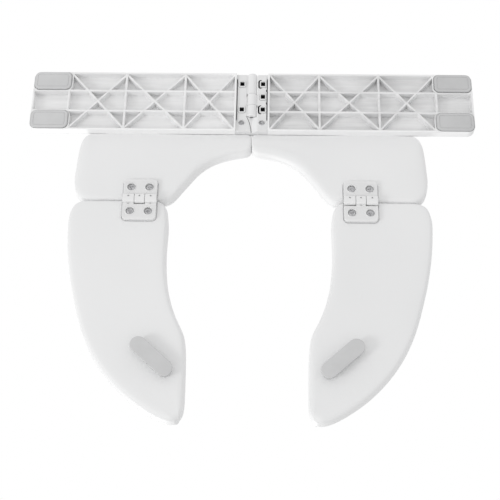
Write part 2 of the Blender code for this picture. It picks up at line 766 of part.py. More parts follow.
def capsule_ends(side):
    """Plan centres of the two round ends of a wing pad."""
    x = side * across(CAPSULE_ACROSS_SHARE)
    y = SEAM_Y - CAPSULE_ALONG_SHARE * WING_LENGTH
    reach = Vector((side * math.cos(CAPSULE_TURN), math.sin(CAPSULE_TURN))) * CAPSULE_SPACING / 2
    return Vector((x, y)) + reach, Vector((x, y)) - reach


def wing_cushion(side):
    """Foam moulded round the wing board, pierced only by the screws and the pad's pegs."""
    word = SIDE_NAMES[side]
    piece = cushion(f"{word}_wing_cushion", wing_sections(side))
    outline = wing_board_outline(side, POCKET_GAP)
    cut(piece, place(raised(outline, BOARD_LOW - GAP, BOARD_HIGH + GAP), f"{word}_wing_space", None))
    cut(piece, barrel_relief(side, f"{word}_wing_relief"))
    for number, (x, y) in enumerate(hinge_screw_places(side, 1)):
        screw_hole(piece, f"{word}_wing_foam_hole_{number}", x, y, UNDERSIDE_Z - OVERRUN, BOARD_LOW)
    for number, end in enumerate(capsule_ends(side)):
        low, high = (*end, UNDERSIDE_Z - OVERRUN), (*end, BOARD_LOW)
        cut(piece, rod(f"{word}_wing_peg_hole_{number}", low, high, PEG_RADIUS + GAP, None, SMALL_SIDES))
    return piece


def wing_board(side):
    word = SIDE_NAMES[side]
    outline = wing_board_outline(side, 0)
    piece = place(raised(outline, BOARD_LOW, BOARD_HIGH), f"{word}_wing_board", BOARD_PLASTIC)
    for number, (x, y) in enumerate(hinge_screw_places(side, 1)):
        screw_hole(piece, f"{word}_board_hole_{number}", x, y, BOARD_LOW - OVERRUN, BOARD_HIGH + OVERRUN)
    for number, end in enumerate(capsule_ends(side)):
        low, high = (*end, BOARD_LOW - OVERRUN), (*end, BOARD_HIGH + OVERRUN)
        cut(piece, rod(f"{word}_board_peg_hole_{number}", low, high, PEG_RADIUS + GAP, None, SMALL_SIDES))
    return piece


def wing_pad(side):
    """A long round-ended pad under a wing, with two pegs that plug into the board."""
    word = SIDE_NAMES[side]
    one, other = capsule_ends(side)
    along = (one - other).normalized()
    sideways = Vector((-along.y, along.x)) * CAPSULE_RADIUS
    steps = SMALL_SIDES // 2
    points = []
    for centre, sign in ((one, 1), (other, -1)):
        for step in range(steps + 1):
            angle = math.pi * step / steps
            turned = along * sign * CAPSULE_RADIUS * math.sin(angle) - sideways * sign * math.cos(angle)
            points.append(centre + turned)
    bm = raised(points, 0, UNDERSIDE_Z - GAP)
    round_edges(bm, lambda e: is_level_with(e, 0), CAPSULE_ROUND, ROUND_SEGMENTS)
    piece = place(bm, f"{word}_wing_pad", PAD_RUBBER)
    top = BOARD_LOW + PEG_BITE_SHARE * BOARD_THICKNESS
    for number, end in enumerate((one, other)):
        low, high = (*end, UNDERSIDE_Z - GAP - RIB_ROOT), (*end, top)
        join(piece, rod(f"{word}_peg_{number}", low, high, PEG_RADIUS, None, SMALL_SIDES))
    return piece


def hang(name, place_of_axis, word, pieces):
    """Parents a moving body's pieces to an empty on the axis that the body turns about."""
    axis = bpy.data.objects.new(name, None)
    axis.location = place_of_axis
    axis.empty_display_size = BAR_WIDTH
    PARTS.objects.link(axis)
    for piece in pieces:
        moved = PARTS.objects[f"{word}_{piece}"]
        moved.parent = axis
        moved.location = -axis.location


def build():
    centre_pin()
    for side in (1, -1):
        word = SIDE_NAMES[side]
        bar(side)
        centre_leaf(side)
        rear_cushion(side)
        wing_cushion(side)
        wing_board(side)
        side_pin(side)
        wing_pad(side)
        for ahead in (1, -1):
            side_leaf(side, ahead)
        for end in (1, -1):
            bar_pad(side, end)
        hang(f"{word}_wing_axis", (side * HINGE_X, SEAM_Y, AXIS_Z), word, WING_PIECES)
    hang("centre_axis", (0, (BAR_FRONT_Y + REAR_Y) / 2, CENTRE_AXIS_Z), SIDE_NAMES[-1], HALF_PIECES)


build()
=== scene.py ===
"""Looks of the folding padded toilet seat reducer, in metres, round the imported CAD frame.

The camera is below the seat, as in the photograph, looking up at its underside. +X is at the
left of the picture and +Y, the rear, at its top.
"""

from math import cos, pi, radians, sin

import bmesh
import bpy
import numpy as np
from mathutils import Matrix, Vector, noise


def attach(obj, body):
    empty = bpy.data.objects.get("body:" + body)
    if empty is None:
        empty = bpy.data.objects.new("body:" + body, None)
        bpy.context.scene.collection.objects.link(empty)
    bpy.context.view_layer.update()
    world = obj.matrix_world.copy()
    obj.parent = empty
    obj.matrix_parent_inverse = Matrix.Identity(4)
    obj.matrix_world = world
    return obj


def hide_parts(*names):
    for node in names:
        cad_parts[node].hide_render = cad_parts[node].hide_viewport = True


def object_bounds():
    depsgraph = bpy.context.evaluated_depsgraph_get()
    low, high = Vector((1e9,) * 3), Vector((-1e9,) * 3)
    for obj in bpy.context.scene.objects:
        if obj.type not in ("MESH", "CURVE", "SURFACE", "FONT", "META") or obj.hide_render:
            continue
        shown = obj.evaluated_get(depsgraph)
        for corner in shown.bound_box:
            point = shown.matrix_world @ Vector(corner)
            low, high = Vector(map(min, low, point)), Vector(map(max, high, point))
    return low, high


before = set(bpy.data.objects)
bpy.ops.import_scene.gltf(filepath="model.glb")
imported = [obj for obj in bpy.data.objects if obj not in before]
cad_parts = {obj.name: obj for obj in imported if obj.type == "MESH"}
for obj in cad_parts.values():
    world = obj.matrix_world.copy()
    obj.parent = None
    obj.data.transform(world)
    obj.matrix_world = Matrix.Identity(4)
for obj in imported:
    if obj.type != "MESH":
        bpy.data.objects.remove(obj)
CAD_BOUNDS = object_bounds()

SIDE_NAMES = {1: "left", -1: "right"}

# ---- camera
CAMERA_PLACE = (-0.01736, -0.4503, -0.8287)
CAMERA_RIGHT = (-0.99979, 0.01722, 0.01096)
CAMERA_UP = (0.01018, 0.88578, -0.46399)
CAMERA_BACK = (-0.0177, -0.46378, -0.88577)
CAMERA_LENS = 84.0
CAMERA_CLIP = (0.01, 50)
SENSOR = 36.0


def make_camera():
    data = bpy.data.cameras.new("camera")
    data.sensor_width = SENSOR
    data.lens = CAMERA_LENS
    data.clip_start, data.clip_end = CAMERA_CLIP
    camera = link(data, "camera")
    axes = Matrix((CAMERA_RIGHT, CAMERA_UP, CAMERA_BACK)).transposed().to_4x4()
    axes.translation = Vector(CAMERA_PLACE)
    camera.matrix_world = axes
    bpy.context.scene.camera = camera


# ---- mesh tools
SHARP_FROM = radians(32)
SMALLEST_RADIUS = 0.00005
# A softened rim's middle step, as a share of the rim's size.
EASE = 0.3


def link(data, name, surface=None):
    """A new object in the scene, for a mesh, a lamp or the camera."""
    piece = bpy.data.objects.new(name, data)
    bpy.context.scene.collection.objects.link(piece)
    if surface is not None:
        data.materials.append(surface)
    return piece


def to_object(bm, name, surface):
    mesh = bpy.data.meshes.new(name)
    bm.to_mesh(mesh)
    bm.free()
    return link(mesh, name, surface)


def solid(bm, name, surface):
    """A bmesh as an object whose faces point outwards."""
    bmesh.ops.recalc_face_normals(bm, faces=bm.faces)
    if bm.calc_volume(signed=True) < 0:
        bmesh.ops.reverse_faces(bm, faces=bm.faces)
    return to_object(bm, name, surface)


def apply_modifiers(piece):
    bpy.context.view_layer.update()
    seen = piece.evaluated_get(bpy.context.evaluated_depsgraph_get())
    mesh = bpy.data.meshes.new_from_object(seen)
    old = piece.data
    piece.modifiers.clear()
    piece.data = mesh
    bpy.data.meshes.remove(old)


def settle(piece, sharp_from=SHARP_FROM):
    """Applies a piece's modifiers for good and shades it smooth between its sharp edges."""
    apply_modifiers(piece)
    piece.data.shade_smooth()
    piece.data.set_sharp_from_angle(angle=sharp_from)


def combine(piece, tools, operation):
    """Cuts or joins other solids, which are then thrown away."""
    for tool in tools:
        step = piece.modifiers.new(tool.name, "BOOLEAN")
        step.operation = operation
        step.object = tool
        step.solver = "EXACT"
        step.material_mode = "TRANSFER"
    apply_modifiers(piece)
    for tool in tools:
        data = tool.data
        bpy.data.objects.remove(tool, do_unlink=True)
        bpy.data.meshes.remove(data)


def bridge(bm, rings):
    """Faces between rings of the same number of vertices, without the two ends."""
    for ring, following in zip(rings, rings[1:]):
        for i, vert in enumerate(ring):
            bm.faces.new((vert, ring[i - 1], following[i - 1], following[i]))


def loft(rings, name="tool", surface=None):
    """A closed solid through rings of the same number of points, with flat ends."""
    bm = bmesh.new()
    made = [[bm.verts.new(point) for point in ring] for ring in rings]
    bridge(bm, made)
    bm.faces.new(made[0])
    bm.faces.new(made[-1])
    return solid(bm, name, surface)


def round_rect(low, high, corners, inset, steps):
    """Plan points of a rectangle with its own radius at each corner, counted from low, low."""
    (x0, y0), (x1, y1) = low, high
    x0, x1 = sorted((x0, x1))
    y0, y1 = sorted((y0, y1))
    spots = ((x0, y0, 180), (x1, y0, 270), (x1, y1, 0), (x0, y1, 90))
    points = []
    for (x, y, start), corner in zip(spots, corners):
        radius = max(corner - inset, SMALLEST_RADIUS)
        into_x = 1 if x == x0 else -1
        into_y = 1 if y == y0 else -1
        centre = (x + into_x * (inset + radius), y + into_y * (inset + radius))
        for step in range(steps + 1):
            angle = radians(start + 90 * step / steps)
            points.append((centre[0] + radius * cos(angle), centre[1] + radius * sin(angle)))
    return points


def slab(low, high, corners, profile, name="tool", surface=None, steps=6):
    """A rounded plate whose edge follows a profile of (inset, height). Corners: four radii or one."""
    corners = corners if isinstance(corners, tuple) else (corners,) * 4
    rings = []
    for inset, z in profile:
        rings.append([(x, y, z) for x, y in round_rect(low, high, corners, inset, steps)])
    return loft(rings, name, surface)


def upright(low, high, corners, bottom, top, surface=None, steps=6):
    """A rounded plate with upright edges."""
    return slab(low, high, corners, ((0, bottom), (0, top)), surface=surface, steps=steps)


def edge_profile(bottom, top, lower, upper, steps=4):
    """Insets and heights of an upright edge that is rounded at its foot and at its head."""
    turns = [pi / 2 * step / steps for step in range(steps + 1)]
    foot = [(lower * (1 - sin(turn)), bottom + lower * (1 - cos(turn))) for turn in turns]
    head = [(upper * (1 - cos(turn)), top - upper * (1 - sin(turn))) for turn in turns]
    return foot + head


def turned(axis_start, axis_end, profile, sides, name="tool", surface=None):
    """A solid of revolution: profile gives (distance, radius). The end only gives the direction."""
    start, end = Vector(axis_start), Vector(axis_end)
    along = (end - start).normalized()
    side = along.orthogonal().normalized()
    other = along.cross(side)
    rings = []
    for distance, radius in profile:
        ring = []
        for i in range(sides):
            angle = 2 * pi * i / sides
            out = side * cos(angle) + other * sin(angle)
            ring.append(start + along * distance + out * radius)
        rings.append(ring)
    return loft(rings, name, surface)


def rims(start, end, soft):
    """Places along a cylinder with softened rims, and how far its radius is drawn in there."""
    eased = soft * EASE
    rising = [(start, soft), (start + eased, eased), (start + soft, 0)]
    return rising + [(end - soft, 0), (end - eased, eased), (end, soft)]


def barrel(start, end, radius, soft, sides, name="tool", surface=None):
    """A cylinder with softened rims."""
    length = (Vector(end) - Vector(start)).length
    profile = [(distance, radius - inset) for distance, inset in rims(0, length, soft)]
    return turned(start, end, profile, sides, name, surface)


def shaft(x, y, low, high, radius, sides):
    """An upright cylinder."""
    return turned((x, y, low), (x, y, high), [(0, radius), (high - low, radius)], sides)


def shafts(places, low, high, radius):
    return [shaft(x, y, low, high, radius, HOLE_SIDES) for x, y in places]


# ---- materials
class Nodes:
    """A short way to write a node tree."""

    def __init__(self, tree):
        self.tree = tree

    def feed(self, value, socket):
        """Gives an input a number, a colour or another node's output."""
        if isinstance(value, bpy.types.NodeSocket):
            self.tree.links.new(value, socket)
        else:
            socket.default_value = value

    def feed_all(self, node, inputs):
        for key, value in inputs.items():
            self.feed(value, node.inputs[key.replace("_", " ")])

    def add(self, kind, **inputs):
        """A new node. Inputs are named as in the editor, with underscores for spaces."""
        node = self.tree.nodes.new(kind)
        self.feed_all(node, inputs)
        return node

    def math(self, operation, *values, clamp=False):
        node = self.add("ShaderNodeMath")
        node.operation = operation
        node.use_clamp = clamp
        for value, socket in zip(values, node.inputs):
            self.feed(value, socket)
        return node.outputs[0]

    def range(self, value, low, high, to_low, to_high, kind="LINEAR"):
        node = self.add(
            "ShaderNodeMapRange", Value=value, From_Min=low, From_Max=high, To_Min=to_low, To_Max=to_high
        )
        node.interpolation_type = kind
        return node.outputs["Result"]

    def mix_shaders(self, factor, one, other, output):
        """Mixes two shader nodes into a new output node."""
        mix = self.add("ShaderNodeMixShader", Fac=factor)
        self.feed(one.outputs[0], mix.inputs[1])
        self.feed(other.outputs[0], mix.inputs[2])
        self.add(output, Surface=mix.outputs[0])


def cleared(owner):
    """The emptied node tree of a material or a world."""
    owner.use_nodes = True
    owner.node_tree.nodes.clear()
    return Nodes(owner.node_tree)


class Finish(Nodes):
    """A piece's material, patterned in the object's own coordinates."""

    def __init__(self, name):
        self.material = bpy.data.materials.new(name)
        self.material.use_nodes = True
        super().__init__(self.material.node_tree)
        self.shader = self.tree.nodes["Principled BSDF"]
        self.place = self.add("ShaderNodeTexCoord").outputs["Object"]

    def noise(self, scale, detail, roughness, stretch=None):
        place = self.place
        if stretch is not None:
            place = self.add("ShaderNodeMapping", Vector=self.place, Scale=stretch).outputs["Vector"]
        node = self.add("ShaderNodeTexNoise", Scale=scale, Detail=detail, Roughness=roughness, Vector=place)
        return node.outputs["Fac"]

    def cells(self, scale):
        node = self.add("ShaderNodeTexVoronoi", Scale=scale, Vector=self.place)
        node.feature = "SMOOTH_F1"
        return node.outputs["Distance"]

    def blend(self, factor, one, other):
        """Mixes two colours, each a tuple or a socket."""
        node = self.add("ShaderNodeMix", Factor=factor)
        node.data_type = "RGBA"
        targets = [socket for socket in node.inputs if socket.type == "RGBA"]
        for colour, socket in zip((one, other), targets):
            self.feed((*colour, 1) if isinstance(colour, tuple) else colour, socket)
        return next(socket for socket in node.outputs if socket.type == "RGBA")

    def tint(self, value, low, high, one, other, to_low=0, to_high=1):
        """Goes from one colour to another where a value goes from low to high."""
        return self.blend(self.range(value, low, high, to_low, to_high), one, other)

    def pointiness(self):
        """How convex the mesh is: 0.5 on flats and more on sharp edges."""
        return self.add("ShaderNodeNewGeometry").outputs["Pointiness"]

    def bump(self, height, strength, distance):
        node = self.add("ShaderNodeBump", Strength=strength, Distance=distance, Height=height)
        self.feed(node.outputs["Normal"], self.shader.inputs["Normal"])

    def shade(self, colour, roughness, **values):
        """Sets the shader's inputs, named as for a new node."""
        values.update(Base_Color=colour, Roughness=roughness)
        self.feed_all(self.shader, values)


def scaled(colour, factor, limit=1.0):
    return tuple(min(c * factor, limit) for c in colour)


def foam_material():
    """Moulded foam with a smooth closed skin: faint pebbling and slow changes of tone."""
    made = Finish("foam_skin")
    slow = made.noise(scale=9, detail=2, roughness=0.5)
    grain = made.noise(scale=1500, detail=3, roughness=0.6)
    pebble = made.cells(1100)
    tone = made.tint(slow, 0.3, 0.7, *FOAM_TONES)
    tone = made.tint(grain, 0.62, 0.8, tone, FOAM_GRAIN_TONE, 0, 0.22)
    gloss = made.range(grain, 0.3, 0.7, 0.46, 0.62)
    made.shade(tone, gloss, Sheen_Weight=0.06, Sheen_Roughness=0.5, Specular_IOR_Level=0.35)
    made.bump(made.math("MULTIPLY_ADD", grain, 0.5, pebble), 0.16, 0.00012)
    return made.material


def plastic_material(name, light, dark, roughness, flow):
    """Moulded plastic: fine spark texture, flow marks along the mould and convex edges painted paler as a
    highlight.
    """
    made = Finish(name)
    spark = made.noise(scale=2600, detail=2, roughness=0.7)
    streak = made.noise(scale=60, detail=3, roughness=0.6, stretch=flow)
    slow = made.noise(scale=18, detail=2, roughness=0.5)
    tone = made.tint(streak, 0.35, 0.68, dark, light)
    tone = made.tint(slow, 0.42, 0.66, tone, light, 0, 0.35)
    # Convex edges painted paler: a painted highlight.
    tone = made.tint(made.pointiness(), 0.505, 0.56, tone, scaled(light, 1.06, 0.9))
    gloss = made.math("MULTIPLY_ADD", spark, 0.6, streak)
    made.shade(tone, made.range(gloss, 0.4, 1.2, roughness - 0.07, roughness + 0.1))
    made.bump(made.math("MULTIPLY_ADD", streak, 0.6, spark), 0.1, 0.00008)
    return made.material


def silicone_material(name, colour):
    """Matt silicone with a fine grain and a little dust."""
    made = Finish(name)
    grain = made.noise(scale=2200, detail=2, roughness=0.6)
    dust = made.cells(900)
    slow = made.noise(scale=40, detail=3, roughness=0.6)
    tone = made.tint(slow, 0.35, 0.65, scaled(colour, 0.93), colour)
    tone = made.tint(dust, 0.05, 0.14, tone, scaled(colour, 1.25, 0.8), 0.35, 0)
    made.shade(tone, made.range(grain, 0.3, 0.7, 0.55, 0.75), Specular_IOR_Level=0.3)
    made.bump(grain, 0.12, 0.00008)
    return made.material


def steel_material():
    """Zinc-plated screw steel with faint turning marks."""
    made = Finish("plated_steel")
    fine = made.noise(scale=1800, detail=3, roughness=0.6)
    slow = made.noise(scale=420, detail=2, roughness=0.5)
    tone = made.tint(slow, 0.35, 0.65, *STEEL_TONES)
    made.shade(tone, made.range(fine, 0.3, 0.7, 0.28, 0.48), Metallic=1.0)
    made.bump(fine, 0.12, 0.00006)
    return made.material


FOAM_TONES = ((0.795, 0.797, 0.8), (0.825, 0.826, 0.828))
FOAM_GRAIN_TONE = (0.7, 0.7, 0.7)
STEEL_TONES = ((0.38, 0.38, 0.39), (0.55, 0.55, 0.56))
# Light and dark tones of the bars. The left bar's are painted lighter and the right bar's darker: painted
# light falling from the left on one plastic.
BAR_SIDE_LIT_TONES = {
    1: ((0.88, 0.88, 0.882), (0.772, 0.772, 0.774)),
    -1: ((0.842, 0.842, 0.844), (0.69, 0.69, 0.692)),
}
HINGE_TONES = ((0.775, 0.775, 0.777), (0.725, 0.725, 0.727))
# Flow marks run along a bar and are coarser on the hinges.
BAR_FLOW = (0.25, 2.6, 1)
HINGE_FLOW = (1, 0.4, 1)

FOAM = foam_material()
# Each bar's plastic carries its side's painted light.
BAR_PLASTIC = {
    side: plastic_material(f"bar_plastic_{word}", *BAR_SIDE_LIT_TONES[side], 0.45, BAR_FLOW)
    for side, word in SIDE_NAMES.items()
}
HINGE_PLASTIC = plastic_material("hinge_plastic", *HINGE_TONES, 0.42, HINGE_FLOW)
# One silicone, painted lighter on the left bar's pads and darker on the right's: painted light from the left.
BAR_SILICONE_SIDE_LIT = {
    1: silicone_material("silicone_left_painted_lit", (0.625, 0.627, 0.63)),
    -1: silicone_material("silicone_right_painted_shade", (0.575, 0.577, 0.58)),
}
WING_SILICONE = silicone_material("silicone_wing", (0.61, 0.612, 0.615))
STEEL = steel_material()
BOARD = silicone_material("board_fibre", (0.42, 0.33, 0.24))
# Near-black paint for hollows, notches, slots and the parting line: painted shade.
SHADE = silicone_material("pocket_shade", (0.03, 0.03, 0.032))


# ---- sizes, as in the frame
GAP = 0.0003
OVERRUN = 0.002
BAR_HALF_LENGTH = 0.19
BAR_WIDTH = 0.0595
REAR_PANEL_LENGTH = 0.066
WING_LENGTH = 0.191
PANEL_HALF_WIDTH = 0.15
OPENING_HALF_WIDTH = 0.067
HINGE_INSET = 0.0243
HINGE_WIDTH = 0.028
HINGE_HALF_LENGTH = 0.019
HINGE_PLATE = 0.0026
HINGE_CORNER = 0.0035
BARREL_RADIUS = 0.004
BARREL_GAP = 0.0006
TONGUE_WIDTH = 0.0086
PIN_RADIUS = 0.0013
PLATE_RISE = 0.0002
SCREW_SPACING_X = 0.015
SCREW_SPACING_Y = 0.0228
HEAD_RADIUS = 0.003
HEAD_DEPTH = 0.0009
HEAD_CROWN = 0.0003
SHANK_RADIUS = 0.0013
RECESS_MARGIN = 0.0005
CUSHION_THICKNESS = 0.017
EDGE_ROUND = 0.006
FOAM_SKIN = 0.0016
BOARD_THICKNESS = 0.0024
BOARD_INSET = 0.007
RIM_Z = 0.001
WALL = 0.0018
RIB = 0.0014
RIB_ROOT = 0.0006
BAR_CORNER = 0.007
BAR_TOP_ROUND = 0.004
TONGUE_ROOT = 0.008
PAD_LENGTH = 0.0315
PAD_WIDTH = 0.0175
PAD_THICKNESS = 0.002
PAD_EDGE = 0.001
PAD_CORNER = 0.0045
PAD_WALL = 0.0013
CAPSULE_RADIUS = 0.0066
CAPSULE_SPACING = 0.0286
CAPSULE_TURN = radians(42.7)
PEG_RADIUS = 0.002
CENTRE_RADIUS = 0.00425
CENTRE_GAP = 0.0005
CENTRE_LENGTH = 0.047
CENTRE_END = 0.0003
CENTRE_PIN_RADIUS = 0.0015
PIN_GAP = 0.0001
LEAF_WIDTH = 0.0078
LEAF_RECESS = 0.002
LEAF_SLIT = 0.001
CENTRE_SCREW_INSET = 0.009
CENTRE_HEAD_RADIUS = 0.0022
BAY_SHARES = (0.0, 0.302, 0.665, 1.0)
KNUCKLE_SHARES = (0.0, 0.44, 0.69, 1.0)
WINDOW_SHARES = {1: (0.217, 0.783), -1: (0.217, 0.5, 0.783)}
CAPSULE_ALONG_SHARE = 0.74
CAPSULE_ACROSS_SHARE = 1.081
SCREW_BITE_SHARE = 0.8
PEG_BITE_SHARE = 0.75

REAR_Y = (BAR_WIDTH + REAR_PANEL_LENGTH + WING_LENGTH) / 2
BAR_FRONT_Y = REAR_Y - BAR_WIDTH
SEAM_Y = BAR_FRONT_Y - REAR_PANEL_LENGTH
HINGE_X = OPENING_HALF_WIDTH + HINGE_INSET
AXIS_Z = BARREL_RADIUS + GAP
PLATE_LOW = AXIS_Z + PLATE_RISE
PLATE_HIGH = PLATE_LOW + HINGE_PLATE
UNDERSIDE_Z = PLATE_HIGH + GAP
BOARD_LOW = UNDERSIDE_Z + FOAM_SKIN
BOARD_HIGH = BOARD_LOW + BOARD_THICKNESS
CENTRE_AXIS_Z = RIM_Z + CENTRE_RADIUS
LEAF_LOW = RIM_Z + LEAF_RECESS
LEAF_HIGH = BOARD_LOW - GAP
SCREW_TOP = BOARD_LOW + SCREW_BITE_SHARE * BOARD_THICKNESS
LEAF_NEAR = CENTRE_RADIUS + CENTRE_GAP
LEAF_FAR = LEAF_NEAR + LEAF_WIDTH
LEAF_X = (LEAF_NEAR + LEAF_FAR) / 2
END_WALL_X = LEAF_FAR + LEAF_SLIT
BAY_START = END_WALL_X + WALL
CENTRE_SCREW_PLACE = (LEAF_X, BAR_FRONT_Y + CENTRE_SCREW_INSET)
PAD_FAR = BAR_HALF_LENGTH - PAD_EDGE
PAD_NEAR = PAD_FAR - PAD_LENGTH
SEAT_NEAR = PAD_NEAR - GAP - PAD_WALL
SEAT_DEPTH = PAD_WIDTH + PAD_EDGE + GAP + PAD_WALL

# ---- sizes that only the surfaces show
# Rounding of edges that lie against another piece, and of edges that only close a solid.
BACK_SOFT = 0.0002
LEAF_BACK_SOFT = 0.0001
CRISP = 0.00005
# Rounding of moulded edges in general, and of ribs and small corners.
SOFT = 0.0005
RIB_SOFT = 0.00055
# Steps of a round corner that shows large, and sides of round things from fine to coarse.
FINE_STEPS = 8
FINE_SIDES = 48
ROUND_SIDES = 40
PIN_SIDES = 32
HOLE_SIDES = 24


def wear(piece, body, slot, *nodes):
    """Puts a finished piece on its body, in place of CAD nodes."""
    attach(piece, body)
    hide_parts(*nodes)


def mirrored(piece, side):
    """Pieces are made on the left and mirrored for the right."""
    if side < 0:
        piece.data.transform(Matrix.Scale(-1, 4, (1, 0, 0)))
        piece.data.flip_normals()


def finished(piece, side, body, slot, *nodes):
    """Smooths a rigid piece with flat faces kept flat, and puts it on its body."""
    settle(piece)
    flats = piece.modifiers.new("flats", "WEIGHTED_NORMAL")
    flats.keep_sharp = True
    mirrored(piece, side)
    wear(piece, body, slot, *nodes)


# ---- cushions
# Sections of a wing from the seam to the tip, in thousandths: outer across and along, inner
# across and along, and how far the end is drawn in. For across see the function of that name.
WING_SHARES = (
    (1867, 0, 1078, 0, 140),
    (1922, 8, 1048, 12, 20),
    (1970, 26, 1022, 34, 0),
    (1998, 66, 1007, 77, 0),
    (2000, 119, 1000, 130, 0),
    (1986, 204, 1005, 209, 0),
    (1959, 294, 1002, 288, 0),
    (1918, 389, 979, 378, 0),
    (1855, 495, 919, 476, 0),
    (1757, 624, 826, 561, 0),
    (1604, 750, 746, 624, 0),
    (1428, 845, 718, 696, 0),
    (1252, 914, 710, 775, 0),
    (1080, 965, 708, 854, 0),
    (960, 989, 708, 918, 0),
    (878, 998, 719, 956, 100),
    (818, 1000, 748, 980, 600),
)
# Sections of a rear cushion from the centre line outwards: front across and along, rear across
# and along, and draw. Along is 0 at the bar and 1 at the seam.
REAR_SHARES = (
    (0, 182, 0, 0, 200),
    (22, 223, 22, 0, 30),
    (90, 252, 97, 0, 0),
    (209, 277, 254, 0, 0),
    (358, 323, 433, 0, 0),
    (500, 392, 612, 0, 0),
    (642, 505, 791, 0, 0),
    (746, 639, 955, 0, 0),
    (836, 765, 1084, 0, 0),
    (910, 871, 1193, 0, 0),
    (985, 953, 1289, 0, 0),
    (1084, 995, 1386, 0, 0),
    (1277, 1000, 1518, 0, 0),
    (1494, 1000, 1645, 2, 0),
    (1699, 1000, 1771, 6, 0),
    (1850, 985, 1865, 22, 0),
    (1950, 875, 1935, 120, 200),
    (1983, 735, 1964, 311, 750),
)
# Clearances of the foam from its neighbours, and from the plate inside it.
FOAM_GAP = 0.00005
POCKET_GAP = 0.0006
# The mould's parting line, and the edge rounding's limit as a share of a section's half width.
PARTING_DEPTH = 0.0004
PARTING_HALF_WIDTH = 0.0007
ROUND_LIMIT_SHARE = 0.5
# A rear cushion's lower edge beside the bar: share of the usual rounding, and lift.
NEAR_SHARE = 0.25
NEAR_RISE = 0.0005
LOWER_PART = 0.4
# The nick where the two rear cushions meet the bars.
NICK_RADIUS = 0.0024
NICK_TIP = 0.0006
NICK_DEPTH = 0.004
# Unevenness: height, length of its waves, a finer second set, and where it fades out.
UNEVENNESS = 0.00016
UNEVEN_LENGTH = 0.028
FINE_SHARE = 0.4
FINE_SCALE = 2.7
SEED_SHIFT = (3.7, 1.9, 5.3)
SEEDS = {"rear": 3, "wing": 6}
FOOT_HEIGHT_SHARE = 0.25
FOOT_SHARE = 0.15
CALM_REACH = 0.004
# Subdivision, how much of its own place a point keeps in it, and the end faces' crease.
SUBDIVISION = 2
OWN_SHARE = 0.67
END_CREASE = 0.7
CUSHION_SHARP_FROM = radians(40)
# The shallow bed round a side hinge plate.
PLATE_BED = 0.001
PLATE_GROOVE = 0.0007

# Half of a cushion's section, as (across, rounds in from the edge, height share, rounds up). The
# three rows at mid height carry the parting line.
HALF_SECTION = (
    (0.5, 1.2, 0.0, 0.0),
    (1.0, 1.0, 0.0, 0.0),
    (1.0, 0.25, 0.0, 0.25),
    (1.0, 0.02, 0.34, 0.0),
    (1.0, 0.0, 0.5, -PARTING_HALF_WIDTH / EDGE_ROUND),
    (1.0, PARTING_DEPTH / EDGE_ROUND, 0.5, 0.0),
    (1.0, 0.0, 0.5, PARTING_HALF_WIDTH / EDGE_ROUND),
    (1.0, 0.02, 0.68, 0.0),
    (1.0, 0.25, 1.0, -0.62),
    (1.0, 0.8, 1.0, -0.3),
    (1.0, 1.5, 1.0, -0.16),
    (0.55, 1.4, 1.0, -0.03),
)


def whole_section():
    """The half section, the top's middle, and the same half on the near side."""
    far = list(HALF_SECTION)
    near = [(-across, rounds_in, height, up) for across, rounds_in, height, up in reversed(far)]
    return [(0.0, 0.0, 0.0, 0.0)] + far + [(0.0, 0.0, 1.0, 0.0)] + near


def across(share):
    """Distance from the centre line: 1 is the opening's edge and 2 the pads' outer edge."""
    pad_width = PANEL_HALF_WIDTH - OPENING_HALF_WIDTH
    return OPENING_HALF_WIDTH * min(share, 1) + pad_width * max(share - 1, 0)


def placed(shares, shift, start, reach):
    """Plan ends and draws of a cushion's sections: far end, near end, draw."""
    rows = []
    for row in shares:
        far_across, far_along, near_across, near_along, draw = (value / 1000 for value in row)
        far = Vector((shift + across(far_across), start - far_along * reach))
        near = Vector((shift + across(near_across), start - near_along * reach))
        rows.append((far, near, draw))
    return rows


def wing_sections():
    return placed(WING_SHARES, 0, SEAM_Y - FOAM_GAP, WING_LENGTH - FOAM_GAP)


def rear_sections():
    start = BAR_FRONT_Y - FOAM_GAP
    return placed(REAR_SHARES, FOAM_GAP, start, start - SEAM_Y - FOAM_GAP)


def section_ring(far, near, draw, near_share):
    """The points of one section. A near share under 1 tightens and lifts its lower near edge."""
    middle, half = (far + near) / 2, (far - near) / 2
    edge = min(EDGE_ROUND, half.length * ROUND_LIMIT_SHARE)
    ring = []
    for side, rounds_in, height, rounds_up in whole_section():
        softness = near_share if side < 0 and height < LOWER_PART else 1
        inset = edge * (rounds_in * softness * abs(side) + draw * max(1 - rounds_in / 2, 0))
        flat = middle + side * (half - half.normalized() * inset)
        z = UNDERSIDE_Z + height * CUSHION_THICKNESS
        z += EDGE_ROUND * (rounds_up * softness + draw * (1 - 2 * height))
        if near_share < 1 and side == -1 and height == 0:
            z += NEAR_RISE
        ring.append((flat.x, flat.y, z))
    return ring


def averaging(count, closed):
    """How subdivision averages a row of points with their neighbours."""
    other = (1 - OWN_SHARE) / 2
    weights = np.zeros((count, count))
    for row in range(count):
        if closed or 0 < row < count - 1:
            weights[row, row] = OWN_SHARE
            weights[row, (row - 1) % count] = other
            weights[row, (row + 1) % count] = other
        else:
            weights[row, row] = 1
    return weights


def cage_through(rings):
    """Control points whose subdivided surface passes through the given rings."""
    points = np.array(rings)
    along = np.linalg.inv(averaging(points.shape[0], False))
    around = np.linalg.inv(averaging(points.shape[1], True))
    return np.einsum("ij,jkl,mk->iml", along, points, around)


def toward(point, target, distance):
    return point + (target - point).normalized() * distance


